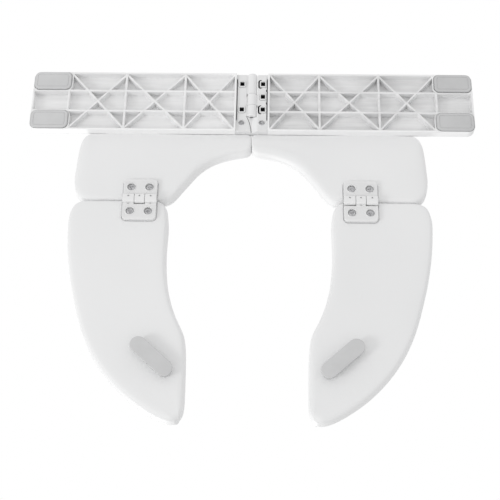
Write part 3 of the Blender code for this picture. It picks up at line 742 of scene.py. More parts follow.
def wing_board_outline(grow):
    full = [(far, near) for far, near, draw in wing_sections() if draw == 0]
    inset = BOARD_INSET - grow
    outer = [toward(far, near, inset) for far, near in full]
    inner = [toward(near, far, inset) for far, near in full]
    for row in (outer, inner):
        row[0] = toward(row[0], row[1], -grow)
        row[-1] = toward(row[-1], row[-2], -grow)
    return outer + inner[::-1]


def tongue_outline(grow, rear_y):
    full = [(front, rear) for front, rear, draw in rear_sections() if draw == 0][1:]
    front = [toward(a, b, BOARD_INSET - grow) for a, b in full]
    front[0].x -= grow
    front[-1].x += grow
    return front + [Vector((front[-1].x, rear_y)), Vector((front[0].x, rear_y))]


def raised(points, low, high):
    """A plate with upright edges over a plan outline."""
    return loft([[(x, y, z) for x, y in points] for z in (low, high)])


def relief():
    """The hollow in the foam that the side hinge's barrel turns in."""
    reach = HINGE_WIDTH / 2 + BARREL_GAP
    ends = [(HINGE_X + sign * reach, SEAM_Y, AXIS_Z) for sign in (-1, 1)]
    return barrel(*ends, BARREL_RADIUS + BARREL_GAP, SOFT, ROUND_SIDES)


def hinge_screw_places(ahead):
    """The two screws of one side hinge leaf: ahead is 1 for the wing and -1 for the rear."""
    y = SEAM_Y - ahead * SCREW_SPACING_Y / 2
    return [(HINGE_X + away * SCREW_SPACING_X / 2, y) for away in (-1, 1)]


def end_corners(ahead, round_one, small):
    """Corner radii of a plate that is round at the end away from the seam."""
    return (round_one, round_one, small, small) if ahead > 0 else (small, small, round_one, round_one)


def plate_bed(ahead):
    """The shallow bed in the foam round a side hinge leaf."""
    half = HINGE_WIDTH / 2 + PLATE_GROOVE
    corners = end_corners(ahead, HINGE_CORNER + PLATE_GROOVE, RIB_SOFT)
    far_y = SEAM_Y - ahead * (HINGE_HALF_LENGTH + PLATE_GROOVE)
    profile = [(-GAP, UNDERSIDE_Z - OVERRUN), (-GAP, UNDERSIDE_Z)]
    profile += [(0, UNDERSIDE_Z + GAP), (0, UNDERSIDE_Z + PLATE_BED)]
    return slab((HINGE_X - half, SEAM_Y), (HINGE_X + half, far_y), corners, profile)


def uneven(piece, seed):
    """Slow hand-felt unevenness of moulded foam, fading out at hinges, pads, seams and bars."""
    shift = Vector(seed * part for part in SEED_SHIFT)
    for vert in piece.data.vertices:
        value = noise.noise(vert.co / UNEVEN_LENGTH + shift)
        value += FINE_SHARE * noise.noise(vert.co / UNEVEN_LENGTH * FINE_SCALE + shift)
        height = (vert.co.z - UNDERSIDE_Z) / CUSHION_THICKNESS
        share = min(max(height / FOOT_HEIGHT_SHARE, FOOT_SHARE), 1)
        share *= min(abs(vert.co.y - SEAM_Y) / CALM_REACH, abs(vert.co.y - BAR_FRONT_Y) / CALM_REACH, 1)
        vert.co += vert.normal * UNEVENNESS * value * share


def cushion(name, sections, near_share, seed):
    """A crowned foam pad through its sections, smoothed by subdivision."""
    bm = bmesh.new()
    cage = cage_through([section_ring(*section, near_share) for section in sections])
    rings = [[bm.verts.new(point) for point in ring] for ring in cage]
    bridge(bm, rings)
    crease = bm.edges.layers.float.new("crease_edge")
    for ring in (rings[0], rings[-1]):
        for edge in bm.faces.new(ring).edges:
            edge[crease] = END_CREASE
    piece = solid(bm, name, FOAM)
    smooth = piece.modifiers.new("soften", "SUBSURF")
    smooth.levels = smooth.render_levels = SUBDIVISION
    settle(piece)
    uneven(piece, seed)
    return piece


def cushion_cutters(part):
    """Cutters for a cushion's pocket, its hinge's bed and barrel, and its holes."""
    ahead, outline = 1, wing_board_outline(POCKET_GAP)
    if part == "rear":
        ahead, outline = -1, tongue_outline(POCKET_GAP, BAR_FRONT_Y + OVERRUN)
    tools = [raised(outline, BOARD_LOW - GAP, BOARD_HIGH + GAP), relief(), plate_bed(ahead)]
    low = UNDERSIDE_Z - OVERRUN
    if ahead < 0:
        profile = [(0, NICK_RADIUS), (OVERRUN, NICK_RADIUS), (OVERRUN + NICK_DEPTH, NICK_TIP)]
        tools.append(turned((0, BAR_FRONT_Y, low), (0, BAR_FRONT_Y, UNDERSIDE_Z), profile, PIN_SIDES))
    tools += shafts(hinge_screw_places(ahead), low, BOARD_LOW, SHANK_RADIUS + GAP)
    if ahead > 0:
        tools += shafts(capsule_ends(), low, BOARD_LOW, PEG_RADIUS + GAP)
    return tools


def dress_cushions(side):
    word = SIDE_NAMES[side]
    for part, body, sections, near_share in (
        ("rear", "half", rear_sections(), NEAR_SHARE),
        ("wing", "wing", wing_sections(), 1),
    ):
        piece = cushion(f"{word}_{part}_foam", sections, near_share, SEEDS[part])
        combine(piece, cushion_cutters(part), "DIFFERENCE")
        settle(piece, CUSHION_SHARP_FROM)
        mirrored(piece, side)
        wear(piece, f"{word}_{body}", "cushion_foam", f"{word}_{part}_cushion")


# ---- bars
RIM_SOFT = 0.0007
CELL_FLOOR = 0.0072
CAVITY_FILLET = 0.0016
RIB_SHOWN = 0.002
BRACE_SHOWN = 0.0018
RIB_DRAFT = 0.00015
# Lower edges of the ribs, at slightly different heights where ribs cross.
RIB_STEP = 0.0002
LENGTHWISE_LOW = RIM_Z + RIB_STEP
CROSSWISE_LOW = RIM_Z + RIB_STEP * 1.5
BRACE_LOWS = (RIM_Z + RIB_STEP * 2.5, RIM_Z + RIB_STEP * 3)
SEAT_RIB_SHIFT = 0.002
SEAT_CORNER = 0.006
SEAT_SETBACK = 0.00012
PAD_MARGIN = 0.0008
# A pad pocket's mouth: flare, and the heights between which it narrows.
PAD_FLARE = 0.0002
PAD_FLARE_LOW = 0.0001
PAD_FLARE_HIGH = 0.0004
# The groove along a pad's border, as (inset, depth) in groove depths.
PAD_BORDER = 0.0023
PAD_GROOVE = 0.0003
GROOVE_SECTION = ((4, 0), (1.6, 0), (1, 1), (0, 1), (-0.6, 0))


def rib(start, end, thickness, low):
    """A drafted rib between two plan points, with softened lower edges."""
    start, end = Vector(start), Vector(end)
    along = (end - start).normalized()
    aside = Vector((-along.y, along.x))
    start, end = start - along * RIB_ROOT, end + along * RIB_ROOT
    profile = (
        (RIB_SOFT, low),
        (RIB_SOFT * EASE, low + RIB_SOFT * EASE),
        (0, low + RIB_SOFT),
        (-RIB_DRAFT, CELL_FLOOR + RIB_ROOT),
    )
    rings = []
    for inset, z in profile:
        half = aside * (thickness / 2 - inset)
        rings.append([(*point, z) for point in (start + half, start - half, end - half, end + half)])
    return loft(rings)


def bar_ribs():
    """Two lengthwise ribs, three crosswise ribs and a cross brace in each bay."""
    front, rear = BAR_FRONT_Y + WALL, REAR_Y - WALL
    span = SEAT_NEAR + RIB / 2 - BAY_START
    stops = [BAY_START + share * span for share in BAY_SHARES]
    lines = (BAR_FRONT_Y + SEAT_DEPTH - RIB / 2, REAR_Y - SEAT_DEPTH + RIB / 2)
    ribs = []
    for y in lines:
        ribs.append(rib((stops[0], y), (BAR_HALF_LENGTH - WALL, y), RIB_SHOWN, LENGTHWISE_LOW))
    for x in stops[1:-1]:
        ribs.append(rib((x, front), (x, rear), RIB_SHOWN, CROSSWISE_LOW))
    x = stops[-1] + SEAT_RIB_SHIFT
    ribs.append(rib((x, lines[0]), (x, lines[1]), RIB_SHOWN, CROSSWISE_LOW))
    for near, away in zip(stops, stops[1:]):
        ribs.append(rib((near, front), (away, rear), BRACE_SHOWN, BRACE_LOWS[0]))
        ribs.append(rib((near, rear), (away, front), BRACE_SHOWN, BRACE_LOWS[1]))
    return ribs


def pad_span(end, outer=0.0, inner=0.0):
    """Plan corners of a bar pad, grown on its outer and inner sides."""
    edge = REAR_Y if end > 0 else BAR_FRONT_Y
    near, away = edge - end * (PAD_EDGE - outer), edge - end * (PAD_EDGE + PAD_WIDTH + inner)
    return (PAD_NEAR - inner, min(near, away)), (PAD_FAR + outer, max(near, away))


def pad_seat(end):
    """The solid under a bar pad, with a wide curve towards the middle of the bar."""
    edge = REAR_Y if end > 0 else BAR_FRONT_Y
    ys = sorted((edge - end * SEAT_DEPTH, edge - end * WALL / 2))
    corner = BAR_CORNER - WALL / 2
    corners = (SEAT_CORNER, PAD_WALL, corner, WALL) if end > 0 else (WALL, corner, PAD_WALL, SEAT_CORNER)
    profile = edge_profile(RIM_Z + SEAT_SETBACK, BOARD_LOW + RIB_ROOT, RIB_SOFT, CRISP)
    return slab((SEAT_NEAR, ys[0]), (BAR_HALF_LENGTH - WALL / 2, ys[1]), corners, profile, steps=FINE_STEPS)


def bar_cutters():
    """Cutters for a bar's open underside and for the hinge leaf at its inner end."""
    corner = BAR_CORNER - WALL
    profile = (
        (-RIM_SOFT, RIM_Z - OVERRUN),
        (-RIM_SOFT, RIM_Z),
        (-RIM_SOFT * EASE, RIM_Z + RIM_SOFT * EASE),
        (0, RIM_Z + RIM_SOFT),
        (0, CELL_FLOOR - CAVITY_FILLET),
        (CAVITY_FILLET * EASE, CELL_FLOOR - CAVITY_FILLET * EASE),
        (CAVITY_FILLET, CELL_FLOOR),
    )
    low, high = (BAY_START, BAR_FRONT_Y + WALL), (BAR_HALF_LENGTH - WALL, REAR_Y - WALL)
    cavity = slab(low, high, (WALL, corner, corner, WALL), profile, steps=FINE_STEPS)
    beyond_x = LEAF_NEAR - BAR_CORNER - (BAR_CORNER + OVERRUN)
    ys = (BAR_FRONT_Y - OVERRUN, REAR_Y + OVERRUN)
    soft = RIM_SOFT / 2
    leaf_room = ((-soft, RIM_Z - OVERRUN), (-soft, RIM_Z), (0, RIM_Z + soft), (0, BOARD_LOW))
    leaf_cut = slab((beyond_x, ys[0]), (END_WALL_X, ys[1]), 0, leaf_room, steps=1)
    low, high = (beyond_x, ys[0] - OVERRUN), (LEAF_NEAR, ys[1] + OVERRUN)
    return [cavity, leaf_cut, upright(low, high, 0, RIM_Z - OVERRUN, BOARD_HIGH + OVERRUN, steps=1)]


def dress_bar(side):
    word = SIDE_NAMES[side]
    bar = slab(
        (LEAF_NEAR - BAR_CORNER, BAR_FRONT_Y),
        (BAR_HALF_LENGTH, REAR_Y),
        (WALL, BAR_CORNER, BAR_CORNER, WALL),
        edge_profile(RIM_Z, BOARD_HIGH, RIM_SOFT, BAR_TOP_ROUND, 5),
        f"{word}_ribbed_bar",
        BAR_PLASTIC[side],
        FINE_STEPS,
    )
    combine(bar, bar_cutters(), "DIFFERENCE")
    outline = tongue_outline(0, BAR_FRONT_Y + TONGUE_ROOT)
    tongue = raised(outline, BOARD_LOW + GAP / 2, BOARD_HIGH - GAP / 2)
    combine(bar, bar_ribs() + [pad_seat(1), pad_seat(-1), tongue], "UNION")
    profile = (
        (-PAD_FLARE, RIM_Z - OVERRUN),
        (-PAD_FLARE, RIM_Z + PAD_FLARE_LOW),
        (0, RIM_Z + PAD_FLARE_HIGH),
        (0, PAD_THICKNESS + GAP),
    )
    tools = [slab(*pad_span(end, GAP, PAD_MARGIN), PAD_CORNER + GAP, profile) for end in (1, -1)]
    places = hinge_screw_places(-1) + [CENTRE_SCREW_PLACE]
    tools += shafts(places, BOARD_LOW - OVERRUN, BOARD_HIGH + OVERRUN, SHANK_RADIUS + GAP)
    combine(bar, tools, "DIFFERENCE")
    finished(bar, side, f"{word}_half", "bar_plastic", f"{word}_bar")
    for end, label in ((1, "rear"), (-1, "front")):
        profile = [(PAD_BORDER + PAD_GROOVE * inset, PAD_GROOVE * depth) for inset, depth in GROOVE_SECTION]
        profile += edge_profile(0, PAD_THICKNESS, SOFT, CRISP)
        name = f"{word}_bar_grip_{label}"
        pad = slab(*pad_span(end), PAD_CORNER, profile, name, BAR_SILICONE_SIDE_LIT[side], FINE_STEPS)
        finished(pad, side, f"{word}_half", "pad_silicone", f"{word}_bar_pad_{label}")


# ---- wing pads
CAPSULE_SOFT = 0.0006
CAPSULE_LIP = 0.0018
CAPSULE_UNDERCUT = 0.0016
CAPSULE_FLAT_SHARE = 0.5
CAPSULE_STEPS = 12


def capsule_ends():
    """Plan centres of the two round ends of a wing pad."""
    middle = Vector((across(CAPSULE_ACROSS_SHARE), SEAM_Y - CAPSULE_ALONG_SHARE * WING_LENGTH))
    reach = Vector((cos(CAPSULE_TURN), sin(CAPSULE_TURN))) * CAPSULE_SPACING / 2
    return middle + reach, middle - reach


def dress_wing_pad(side):
    word = SIDE_NAMES[side]
    one, other = capsule_ends()
    foot = UNDERSIDE_Z - GAP
    profile = [(CAPSULE_RADIUS * CAPSULE_FLAT_SHARE, 0)]
    profile += edge_profile(0, CAPSULE_LIP, CAPSULE_SOFT, BACK_SOFT) + [(CAPSULE_UNDERCUT, foot)]
    starts = ((one, CAPSULE_TURN - pi / 2), (other, CAPSULE_TURN + pi / 2))
    rings = []
    for inset, z in profile:
        radius = CAPSULE_RADIUS - inset
        ring = []
        for centre, start in starts:
            for step in range(CAPSULE_STEPS + 1):
                angle = start + pi * step / CAPSULE_STEPS
                ring.append((centre.x + radius * cos(angle), centre.y + radius * sin(angle), z))
        rings.append(ring)
    pad = loft(rings, f"{word}_wing_grip", WING_SILICONE)
    top = BOARD_LOW + PEG_BITE_SHARE * BOARD_THICKNESS
    combine(pad, shafts((one, other), foot - RIB_ROOT, top, PEG_RADIUS), "UNION")
    finished(pad, side, f"{word}_wing", "pad_silicone", f"{word}_wing_pad")


# ---- screws
# The head, as (height in half crowns, share of the radius), and the point at the shank's end.
HEAD_SINK = 0.0007
HEAD_SECTION = ((0, 0.3), (0.25, 0.62), (0.8, 0.86), (1.5, 0.97), (2.2, 1))
POINT_LENGTH = SHANK_RADIUS * 0.6
POINT_RADIUS = SHANK_RADIUS * 0.3
CROSS_WIDTH = 0.0009
CROSS_DEPTH = 0.0007
CROSS_REACH_SHARE = 0.66
CROSS_TAPER = 0.45
# The raised lip round a recess, as (out, up) in lip widths and heights, and the recess's mouth.
LIP_WIDTH = 0.0008
LIP_HEIGHT = 0.00035
LIP_SECTION = ((1, 0), (0.85, 0.6), (0.55, 1), (0.25, 1))
MOUTH_SECTION = ((0, 0.6), (0.3, 1.2))


def screw_lip(x, y, face_z, radius):
    """The raised rim round a screw's recess."""
    inner = radius + RECESS_MARGIN
    profile = [(-RIB_ROOT, inner + LIP_WIDTH)]
    profile += [(LIP_HEIGHT * up, inner + LIP_WIDTH * out) for out, up in LIP_SECTION]
    return turned((x, y, face_z), (x, y, face_z - 1), profile, FINE_SIDES)


def screw_pocket(x, y, face_z, radius):
    """The cutter for a screw's recess, flared a little at its mouth."""
    depth = HEAD_CROWN + HEAD_DEPTH + GAP
    inner = radius + RECESS_MARGIN
    profile = [(0, inner)]
    profile += [(depth + LIP_HEIGHT * up, inner + LIP_WIDTH * out) for out, up in MOUTH_SECTION]
    profile.append((profile[-1][0] + OVERRUN, profile[-1][1]))
    return turned((x, y, face_z + depth), (x, y, face_z + depth - 1), profile, FINE_SIDES)


def screw_holes(places, face_z, radius, top):
    """Cutters for recesses and for the holes through the plate above them."""
    pockets = [screw_pocket(x, y, face_z, radius) for x, y in places]
    return pockets + shafts(places, face_z, top + OVERRUN, SHANK_RADIUS + GAP)


def cross_arm(x, y, low, reach, along_x):
    """One arm of the cross recess, tapering as it goes deeper."""
    rings = []
    for z, share in ((low - OVERRUN, 1.0), (low, 1.0), (low + CROSS_DEPTH, CROSS_TAPER)):
        dx, dy = (reach * share, CROSS_WIDTH / 2 * (0.5 + share / 2))
        if not along_x:
            dx, dy = dy, dx
        rings.append([(x - dx, y - dy, z), (x + dx, y - dy, z), (x + dx, y + dy, z), (x - dx, y + dy, z)])
    return loft(rings)


def screw(name, side, x, y, face_z, radius, body, node):
    """A domed cross-head screw."""
    low = face_z + HEAD_SINK
    back = HEAD_CROWN + HEAD_DEPTH - HEAD_SINK
    tip = SCREW_TOP - low
    profile = [(HEAD_CROWN / 2 * up, radius * share) for up, share in HEAD_SECTION]
    profile += [(back, radius), (back, SHANK_RADIUS), (tip - POINT_LENGTH, SHANK_RADIUS), (tip, POINT_RADIUS)]
    piece = turned((x, y, low), (x, y, low + 1), profile, ROUND_SIDES, name, STEEL)
    reach = radius * CROSS_REACH_SHARE
    combine(piece, [cross_arm(x, y, low, reach, True), cross_arm(x, y, low, reach, False)], "DIFFERENCE")
    finished(piece, side, body, "screw_steel", node)


# ---- side hinges
KNUCKLE_FLAT = 0.002
FLAT_BULGE = 0.25
KNUCKLE_GAP = 0.00012
WEB_INSET = 0.0001
# Small dimples on the knuckles, and beside them on the wing's leaf.
DIMPLE_RADIUS = 0.0008
DIMPLE_DEPTH = 0.0008
DIMPLE_SHIFT = 0.0015
DIMPLE_FAR_SHIFT = 0.0046
DIMPLE_SIDES = 16


def flattened_barrel(start_x, end_x):
    """A knuckle whose underside is a little flattened and whose rims are softened."""
    rings = []
    for x, inset in rims(start_x, end_x, SOFT):
        radius = BARREL_RADIUS - inset
        flat = KNUCKLE_FLAT - inset
        ring = []
        for i in range(ROUND_SIDES):
            angle = 2 * pi * i / ROUND_SIDES
            down = radius * cos(angle)
            down = min(down, flat + FLAT_BULGE * max(down - flat, 0))
            ring.append((x, SEAM_Y + radius * sin(angle), AXIS_Z - down))
        rings.append(ring)
    return loft(rings)


def side_knuckles(spans, ahead, plate_near):
    """Knuckles of a side leaf, each with the web that joins it to the plate."""
    parts = []
    ys = sorted((SEAM_Y, plate_near - ahead * SOFT * 2))
    profile = edge_profile(PLATE_LOW - LIP_HEIGHT, PLATE_HIGH, SOFT, BACK_SOFT)
    for start, end in spans:
        parts.append(flattened_barrel(HINGE_X + start, HINGE_X + end))
        low, high = (HINGE_X + start + WEB_INSET, ys[0]), (HINGE_X + end - WEB_INSET, ys[1])
        parts.append(slab(low, high, RIB_SOFT, profile))
    return parts


def dimples(spans, ahead):
    rows = [(SEAM_Y + DIMPLE_SHIFT, AXIS_Z - KNUCKLE_FLAT + DIMPLE_DEPTH)]
    if ahead > 0:
        rows.append((SEAM_Y - DIMPLE_FAR_SHIFT, PLATE_LOW + DIMPLE_DEPTH / 2))
    middles = [HINGE_X + (start + end) / 2 for start, end in spans]
    return [shaft(x, y, 0, top, DIMPLE_RADIUS, DIMPLE_SIDES) for x in middles for y, top in rows]


def side_leaf(side, ahead):
    """One leaf of a side hinge, with one knuckle or two."""
    word = SIDE_NAMES[side]
    part, body = ("wing", f"{word}_wing") if ahead > 0 else ("rear", f"{word}_half")
    near = SEAM_Y - ahead * (BARREL_RADIUS + BARREL_GAP)
    half = HINGE_WIDTH / 2
    leaf = slab(
        (HINGE_X - half, near),
        (HINGE_X + half, SEAM_Y - ahead * HINGE_HALF_LENGTH),
        end_corners(ahead, HINGE_CORNER, RIB_SOFT),
        edge_profile(PLATE_LOW, UNDERSIDE_Z + PLATE_BED - GAP / 3, SOFT, BACK_SOFT),
        f"{word}_hinge_leaf_{part}",
        HINGE_PLASTIC,
        FINE_STEPS,
    )
    tongue = TONGUE_WIDTH / 2
    spans = ((KNUCKLE_GAP - tongue, tongue - KNUCKLE_GAP),)
    if side == ahead:
        spans = ((-half, -tongue - KNUCKLE_GAP), (tongue + KNUCKLE_GAP, half))
    places = hinge_screw_places(ahead)
    lips = [screw_lip(x, y, PLATE_LOW, HEAD_RADIUS) for x, y in places]
    combine(leaf, side_knuckles(spans, ahead, near) + lips, "UNION")
    tools = screw_holes(places, PLATE_LOW, HEAD_RADIUS, PLATE_HIGH)
    reach = half + OVERRUN
    bore = [(HINGE_X - reach, SEAM_Y, AXIS_Z), (HINGE_X + reach, SEAM_Y, AXIS_Z)]
    radius = PIN_RADIUS + PIN_GAP
    tools.append(turned(*bore, [(0, radius), (reach * 2, radius)], HOLE_SIDES))
    combine(leaf, tools + dimples(spans, ahead), "DIFFERENCE")
    finished(leaf, side, body, "hinge_plastic", f"{word}_side_leaf_{part}")
    for label, (x, y) in zip(("inner", "outer"), places):
        name, node = f"{word}_hinge_screw_{part}_{label}", f"{word}_side_screw_{part}_{label}"
        screw(name, side, x, y, PLATE_LOW, HEAD_RADIUS, body, node)


# ---- centre hinge
LEAF_CORNER = 0.0006
FLANGE_FRONT = 0.0112
FLANGE_REAR = 0.0042
# Knuckles: the front one's nose, as (along, inset) in nose sizes, and the webs to the leaf.
NOSE_SETBACK = 0.0035
NOSE_SOFT = 0.001
NOSE_SECTION = ((0, 1.2), (0.3, 0.5), (0.8, 0.12), (1.3, 0))
KNUCKLE_CHAMFER = GAP * 0.8
WEB_BITE = 0.001
WEB_BELOW = 0.0018
WEB_ABOVE = 0.002
PIN_SETBACK = 0.0014
# The tab before the barrel: clearances, its lower edge, and the upright wall at its front.
TAB_GAP = 0.0004
TAB_SETBACK = 0.0002
TAB_LIFT = 0.00015
TAB_FOOT = 0.0004
TAB_BITE = 0.0012
TAB_WALL = 0.0018
TAB_WALL_SETBACK = 0.0003
TAB_WALL_GAP = 0.00007
TAB_WALL_RISE = 0.001
# Windows: opening, raised frame, the groove round it and the pocket behind, painted near-black as shade.
WINDOW_WIDTH = 0.0038
WINDOW_LENGTH = 0.0046
WINDOW_SHIFT = {1: 0.0, -1: 0.0007}
WINDOW_FRAME = 0.001
WINDOW_FLOOR = 0.001
WINDOW_TOP = LEAF_HIGH - WINDOW_FLOOR
FRAME_TOP = LEAF_HIGH - WINDOW_FLOOR * 1.3
FRAME_RISE = 0.0011
FRAME_CORNER = 0.0014
FRAME_GROOVE = 0.00035
FRAME_GROOVE_DEPTH = 0.0006
# C-shaped notches round the right leaf's outer windows, and its two small slots, painted near-black as shade.
NOTCH_WIDTH = 0.0013
NOTCH_REACH_SHARE = 0.45
NOTCH_CORNER = FRAME_CORNER * 1.6
NOTCH_TOP = LEAF_HIGH - WINDOW_FLOOR * 1.8
SLOT_SHARES = (0.36, 0.64)
SLOT_HALF_WIDTH = 0.0006
SLOT_HALF_LENGTH = 0.0011
SLOT_CORNER = 0.0005
SLOT_TOP = LEAF_HIGH - WINDOW_FLOOR * 2
# Plan of the curved parting line on the left tab: start by the barrel's end, bend and end at the
# front edge, as shares of the tab's width and length.
SPLIT_SHARES = ((0.97, 1.02), (0.25, 0.7), (0.05, -0.04))
SPLIT_STEPS = 12
SPLIT_WIDTH = 0.00045

LEAF_FRONT_Y = BAR_FRONT_Y + GAP
LEAF_REAR_Y = REAR_Y - CENTRE_END
TAB_END = LEAF_REAR_Y - CENTRE_LENGTH - TAB_GAP + NOSE_SETBACK


def split_line():
    """The cutter for the curved parting line, whose groove it paints near-black as shade."""
    one, bend, other = SPLIT_SHARES
    middle = []
    for step in range(SPLIT_STEPS + 1):
        t = step / SPLIT_STEPS
        shares = [a * (1 - t) ** 2 + b * 2 * t * (1 - t) + c * t * t for a, b, c in zip(one, bend, other)]
        middle.append(Vector((shares[0] * LEAF_NEAR, LEAF_FRONT_Y + shares[1] * (TAB_END - LEAF_FRONT_Y))))
    rings = []
    for i, point in enumerate(middle):
        along = (middle[min(i + 1, SPLIT_STEPS)] - middle[max(i - 1, 0)]).normalized()
        aside = Vector((-along.y, along.x)) * SPLIT_WIDTH / 2
        face = LEAF_LOW + (CENTRE_AXIS_Z - LEAF_LOW) * (1 - point.x / LEAF_NEAR)
        corners = ((aside, -OVERRUN), (aside, SPLIT_WIDTH), (-aside, SPLIT_WIDTH), (-aside, -OVERRUN))
        rings.append([(*(point + way), face + depth) for way, depth in corners])
    return loft(rings, surface=SHADE)


def centre_barrel(start_y, end_y, nose):
    """One knuckle, whose front end is rounded by its nose."""
    length = end_y - start_y
    profile = [(nose * along, CENTRE_RADIUS - nose * inset) for along, inset in NOSE_SECTION]
    profile += [(length - KNUCKLE_CHAMFER, CENTRE_RADIUS), (length, CENTRE_RADIUS - KNUCKLE_CHAMFER)]
    return turned((0, start_y, CENTRE_AXIS_Z), (0, end_y, CENTRE_AXIS_Z), profile, FINE_SIDES)


def centred(x, y, half_x, half_y):
    """Plan corners of a rectangle round its middle."""
    return (x - half_x, y - half_y), (x + half_x, y + half_y)


def window_box(x, y, grow=0.0):
    return centred(x, y, WINDOW_WIDTH / 2 + grow, WINDOW_LENGTH / 2 + grow)


def window_tools(x, y):
    """The groove's cutter, the raised frame, the cut through it and the pocket behind, painted near-black as
    shade.
    """
    grow, corner = WINDOW_FRAME + FRAME_GROOVE, FRAME_CORNER + FRAME_GROOVE
    groove = upright(*window_box(x, y, grow), corner, 0, LEAF_LOW + FRAME_GROOVE_DEPTH)
    rise = LEAF_LOW - FRAME_RISE
    frame_profile = edge_profile(rise, FRAME_TOP, SOFT, CRISP)
    frame_ring = slab(*window_box(x, y, WINDOW_FRAME), FRAME_CORNER, frame_profile)
    mouth_profile = ((-GAP, rise - OVERRUN), (-GAP, rise), (0, rise + GAP), (0, LEAF_LOW + GAP))
    mouth = slab(*window_box(x, y), GAP, mouth_profile, steps=3)
    deep = upright(*window_box(x, y, -CRISP), GAP, LEAF_LOW, WINDOW_TOP, SHADE, 3)
    return groove, frame_ring, mouth, deep


def notch(x, y):
    """The cutter for a C round the near side of a window's frame, painted near-black as shade."""
    half_x, half_y = WINDOW_WIDTH / 2 + WINDOW_FRAME, WINDOW_LENGTH / 2 + WINDOW_FRAME
    low = (x - half_x - NOTCH_WIDTH, y - half_y - NOTCH_WIDTH)
    high = (x - half_x * NOTCH_REACH_SHARE, y + half_y + NOTCH_WIDTH)
    return upright(low, high, (NOTCH_CORNER, GAP, GAP, NOTCH_CORNER), 0, NOTCH_TOP, SHADE)


def slot(y):
    """The cutter for a small slot at the leaf's outer edge, painted near-black as shade."""
    plan = centred(LEAF_FAR, y, SLOT_HALF_WIDTH, SLOT_HALF_LENGTH)
    return upright(*plan, SLOT_CORNER, 0, SLOT_TOP, SHADE)


def leaf_flanges():
    """Thin flanges at both ends of a centre leaf's outer edge."""
    profile = edge_profile(LEAF_LOW + GAP / 3, LEAF_HIGH, SOFT / 2, LEAF_BACK_SOFT)
    parts = []
    for ys in ((LEAF_FRONT_Y, LEAF_FRONT_Y + FLANGE_FRONT), (LEAF_REAR_Y - FLANGE_REAR, LEAF_REAR_Y)):
        parts.append(slab((LEAF_FAR - RIB, ys[0]), (END_WALL_X - GAP / 3, ys[1]), BACK_SOFT, profile))
    return parts


def extruded(outline, start_y, end_y):
    """A solid with the same outline, of (x, z), at two places along y."""
    return loft([[(x, y, z) for x, z in outline] for y in (start_y, end_y)])


def leaf_tab():
    """The sloping tab before the barrel and the upright wall at its front."""
    top = LEAF_HIGH - GAP
    outline = (
        (FOAM_GAP, CENTRE_AXIS_Z + TAB_LIFT),
        (LEAF_NEAR + TAB_FOOT, LEAF_LOW),
        (LEAF_NEAR + TAB_BITE, LEAF_LOW),
        (LEAF_NEAR + TAB_BITE, top),
        (FOAM_GAP, top),
    )
    low = (TAB_WALL_GAP, LEAF_FRONT_Y + TAB_WALL_SETBACK)
    high = (LEAF_NEAR - GAP, LEAF_FRONT_Y + TAB_WALL)
    tab = extruded(outline, LEAF_FRONT_Y + TAB_SETBACK, TAB_END)
    return [tab, upright(low, high, RIB_DRAFT, CENTRE_AXIS_Z + TAB_WALL_RISE, BOARD_HIGH)]


def centre_knuckles(side):
    """Knuckles of a centre leaf, each with its web: two on the left and one on the right."""
    web = (
        (0, CENTRE_AXIS_Z - WEB_BELOW),
        (LEAF_NEAR + WEB_BITE, LEAF_LOW + BACK_SOFT),
        (LEAF_NEAR + WEB_BITE, CENTRE_AXIS_Z + WEB_ABOVE),
        (0, CENTRE_AXIS_Z + WEB_ABOVE),
    )
    shares = list(zip(KNUCKLE_SHARES, KNUCKLE_SHARES[1:]))
    parts = []
    for start, end in shares[::2] if side > 0 else shares[1::2]:
        away = LEAF_REAR_Y - start * CENTRE_LENGTH - KNUCKLE_GAP * (start > 0)
        near = LEAF_REAR_Y - end * CENTRE_LENGTH + (KNUCKLE_GAP if end < 1 else NOSE_SETBACK)
        parts.append(centre_barrel(near, away, NOSE_SOFT if end == 1 else GAP))
        parts.append(extruded(web, near + GAP, away - GAP))
    return parts


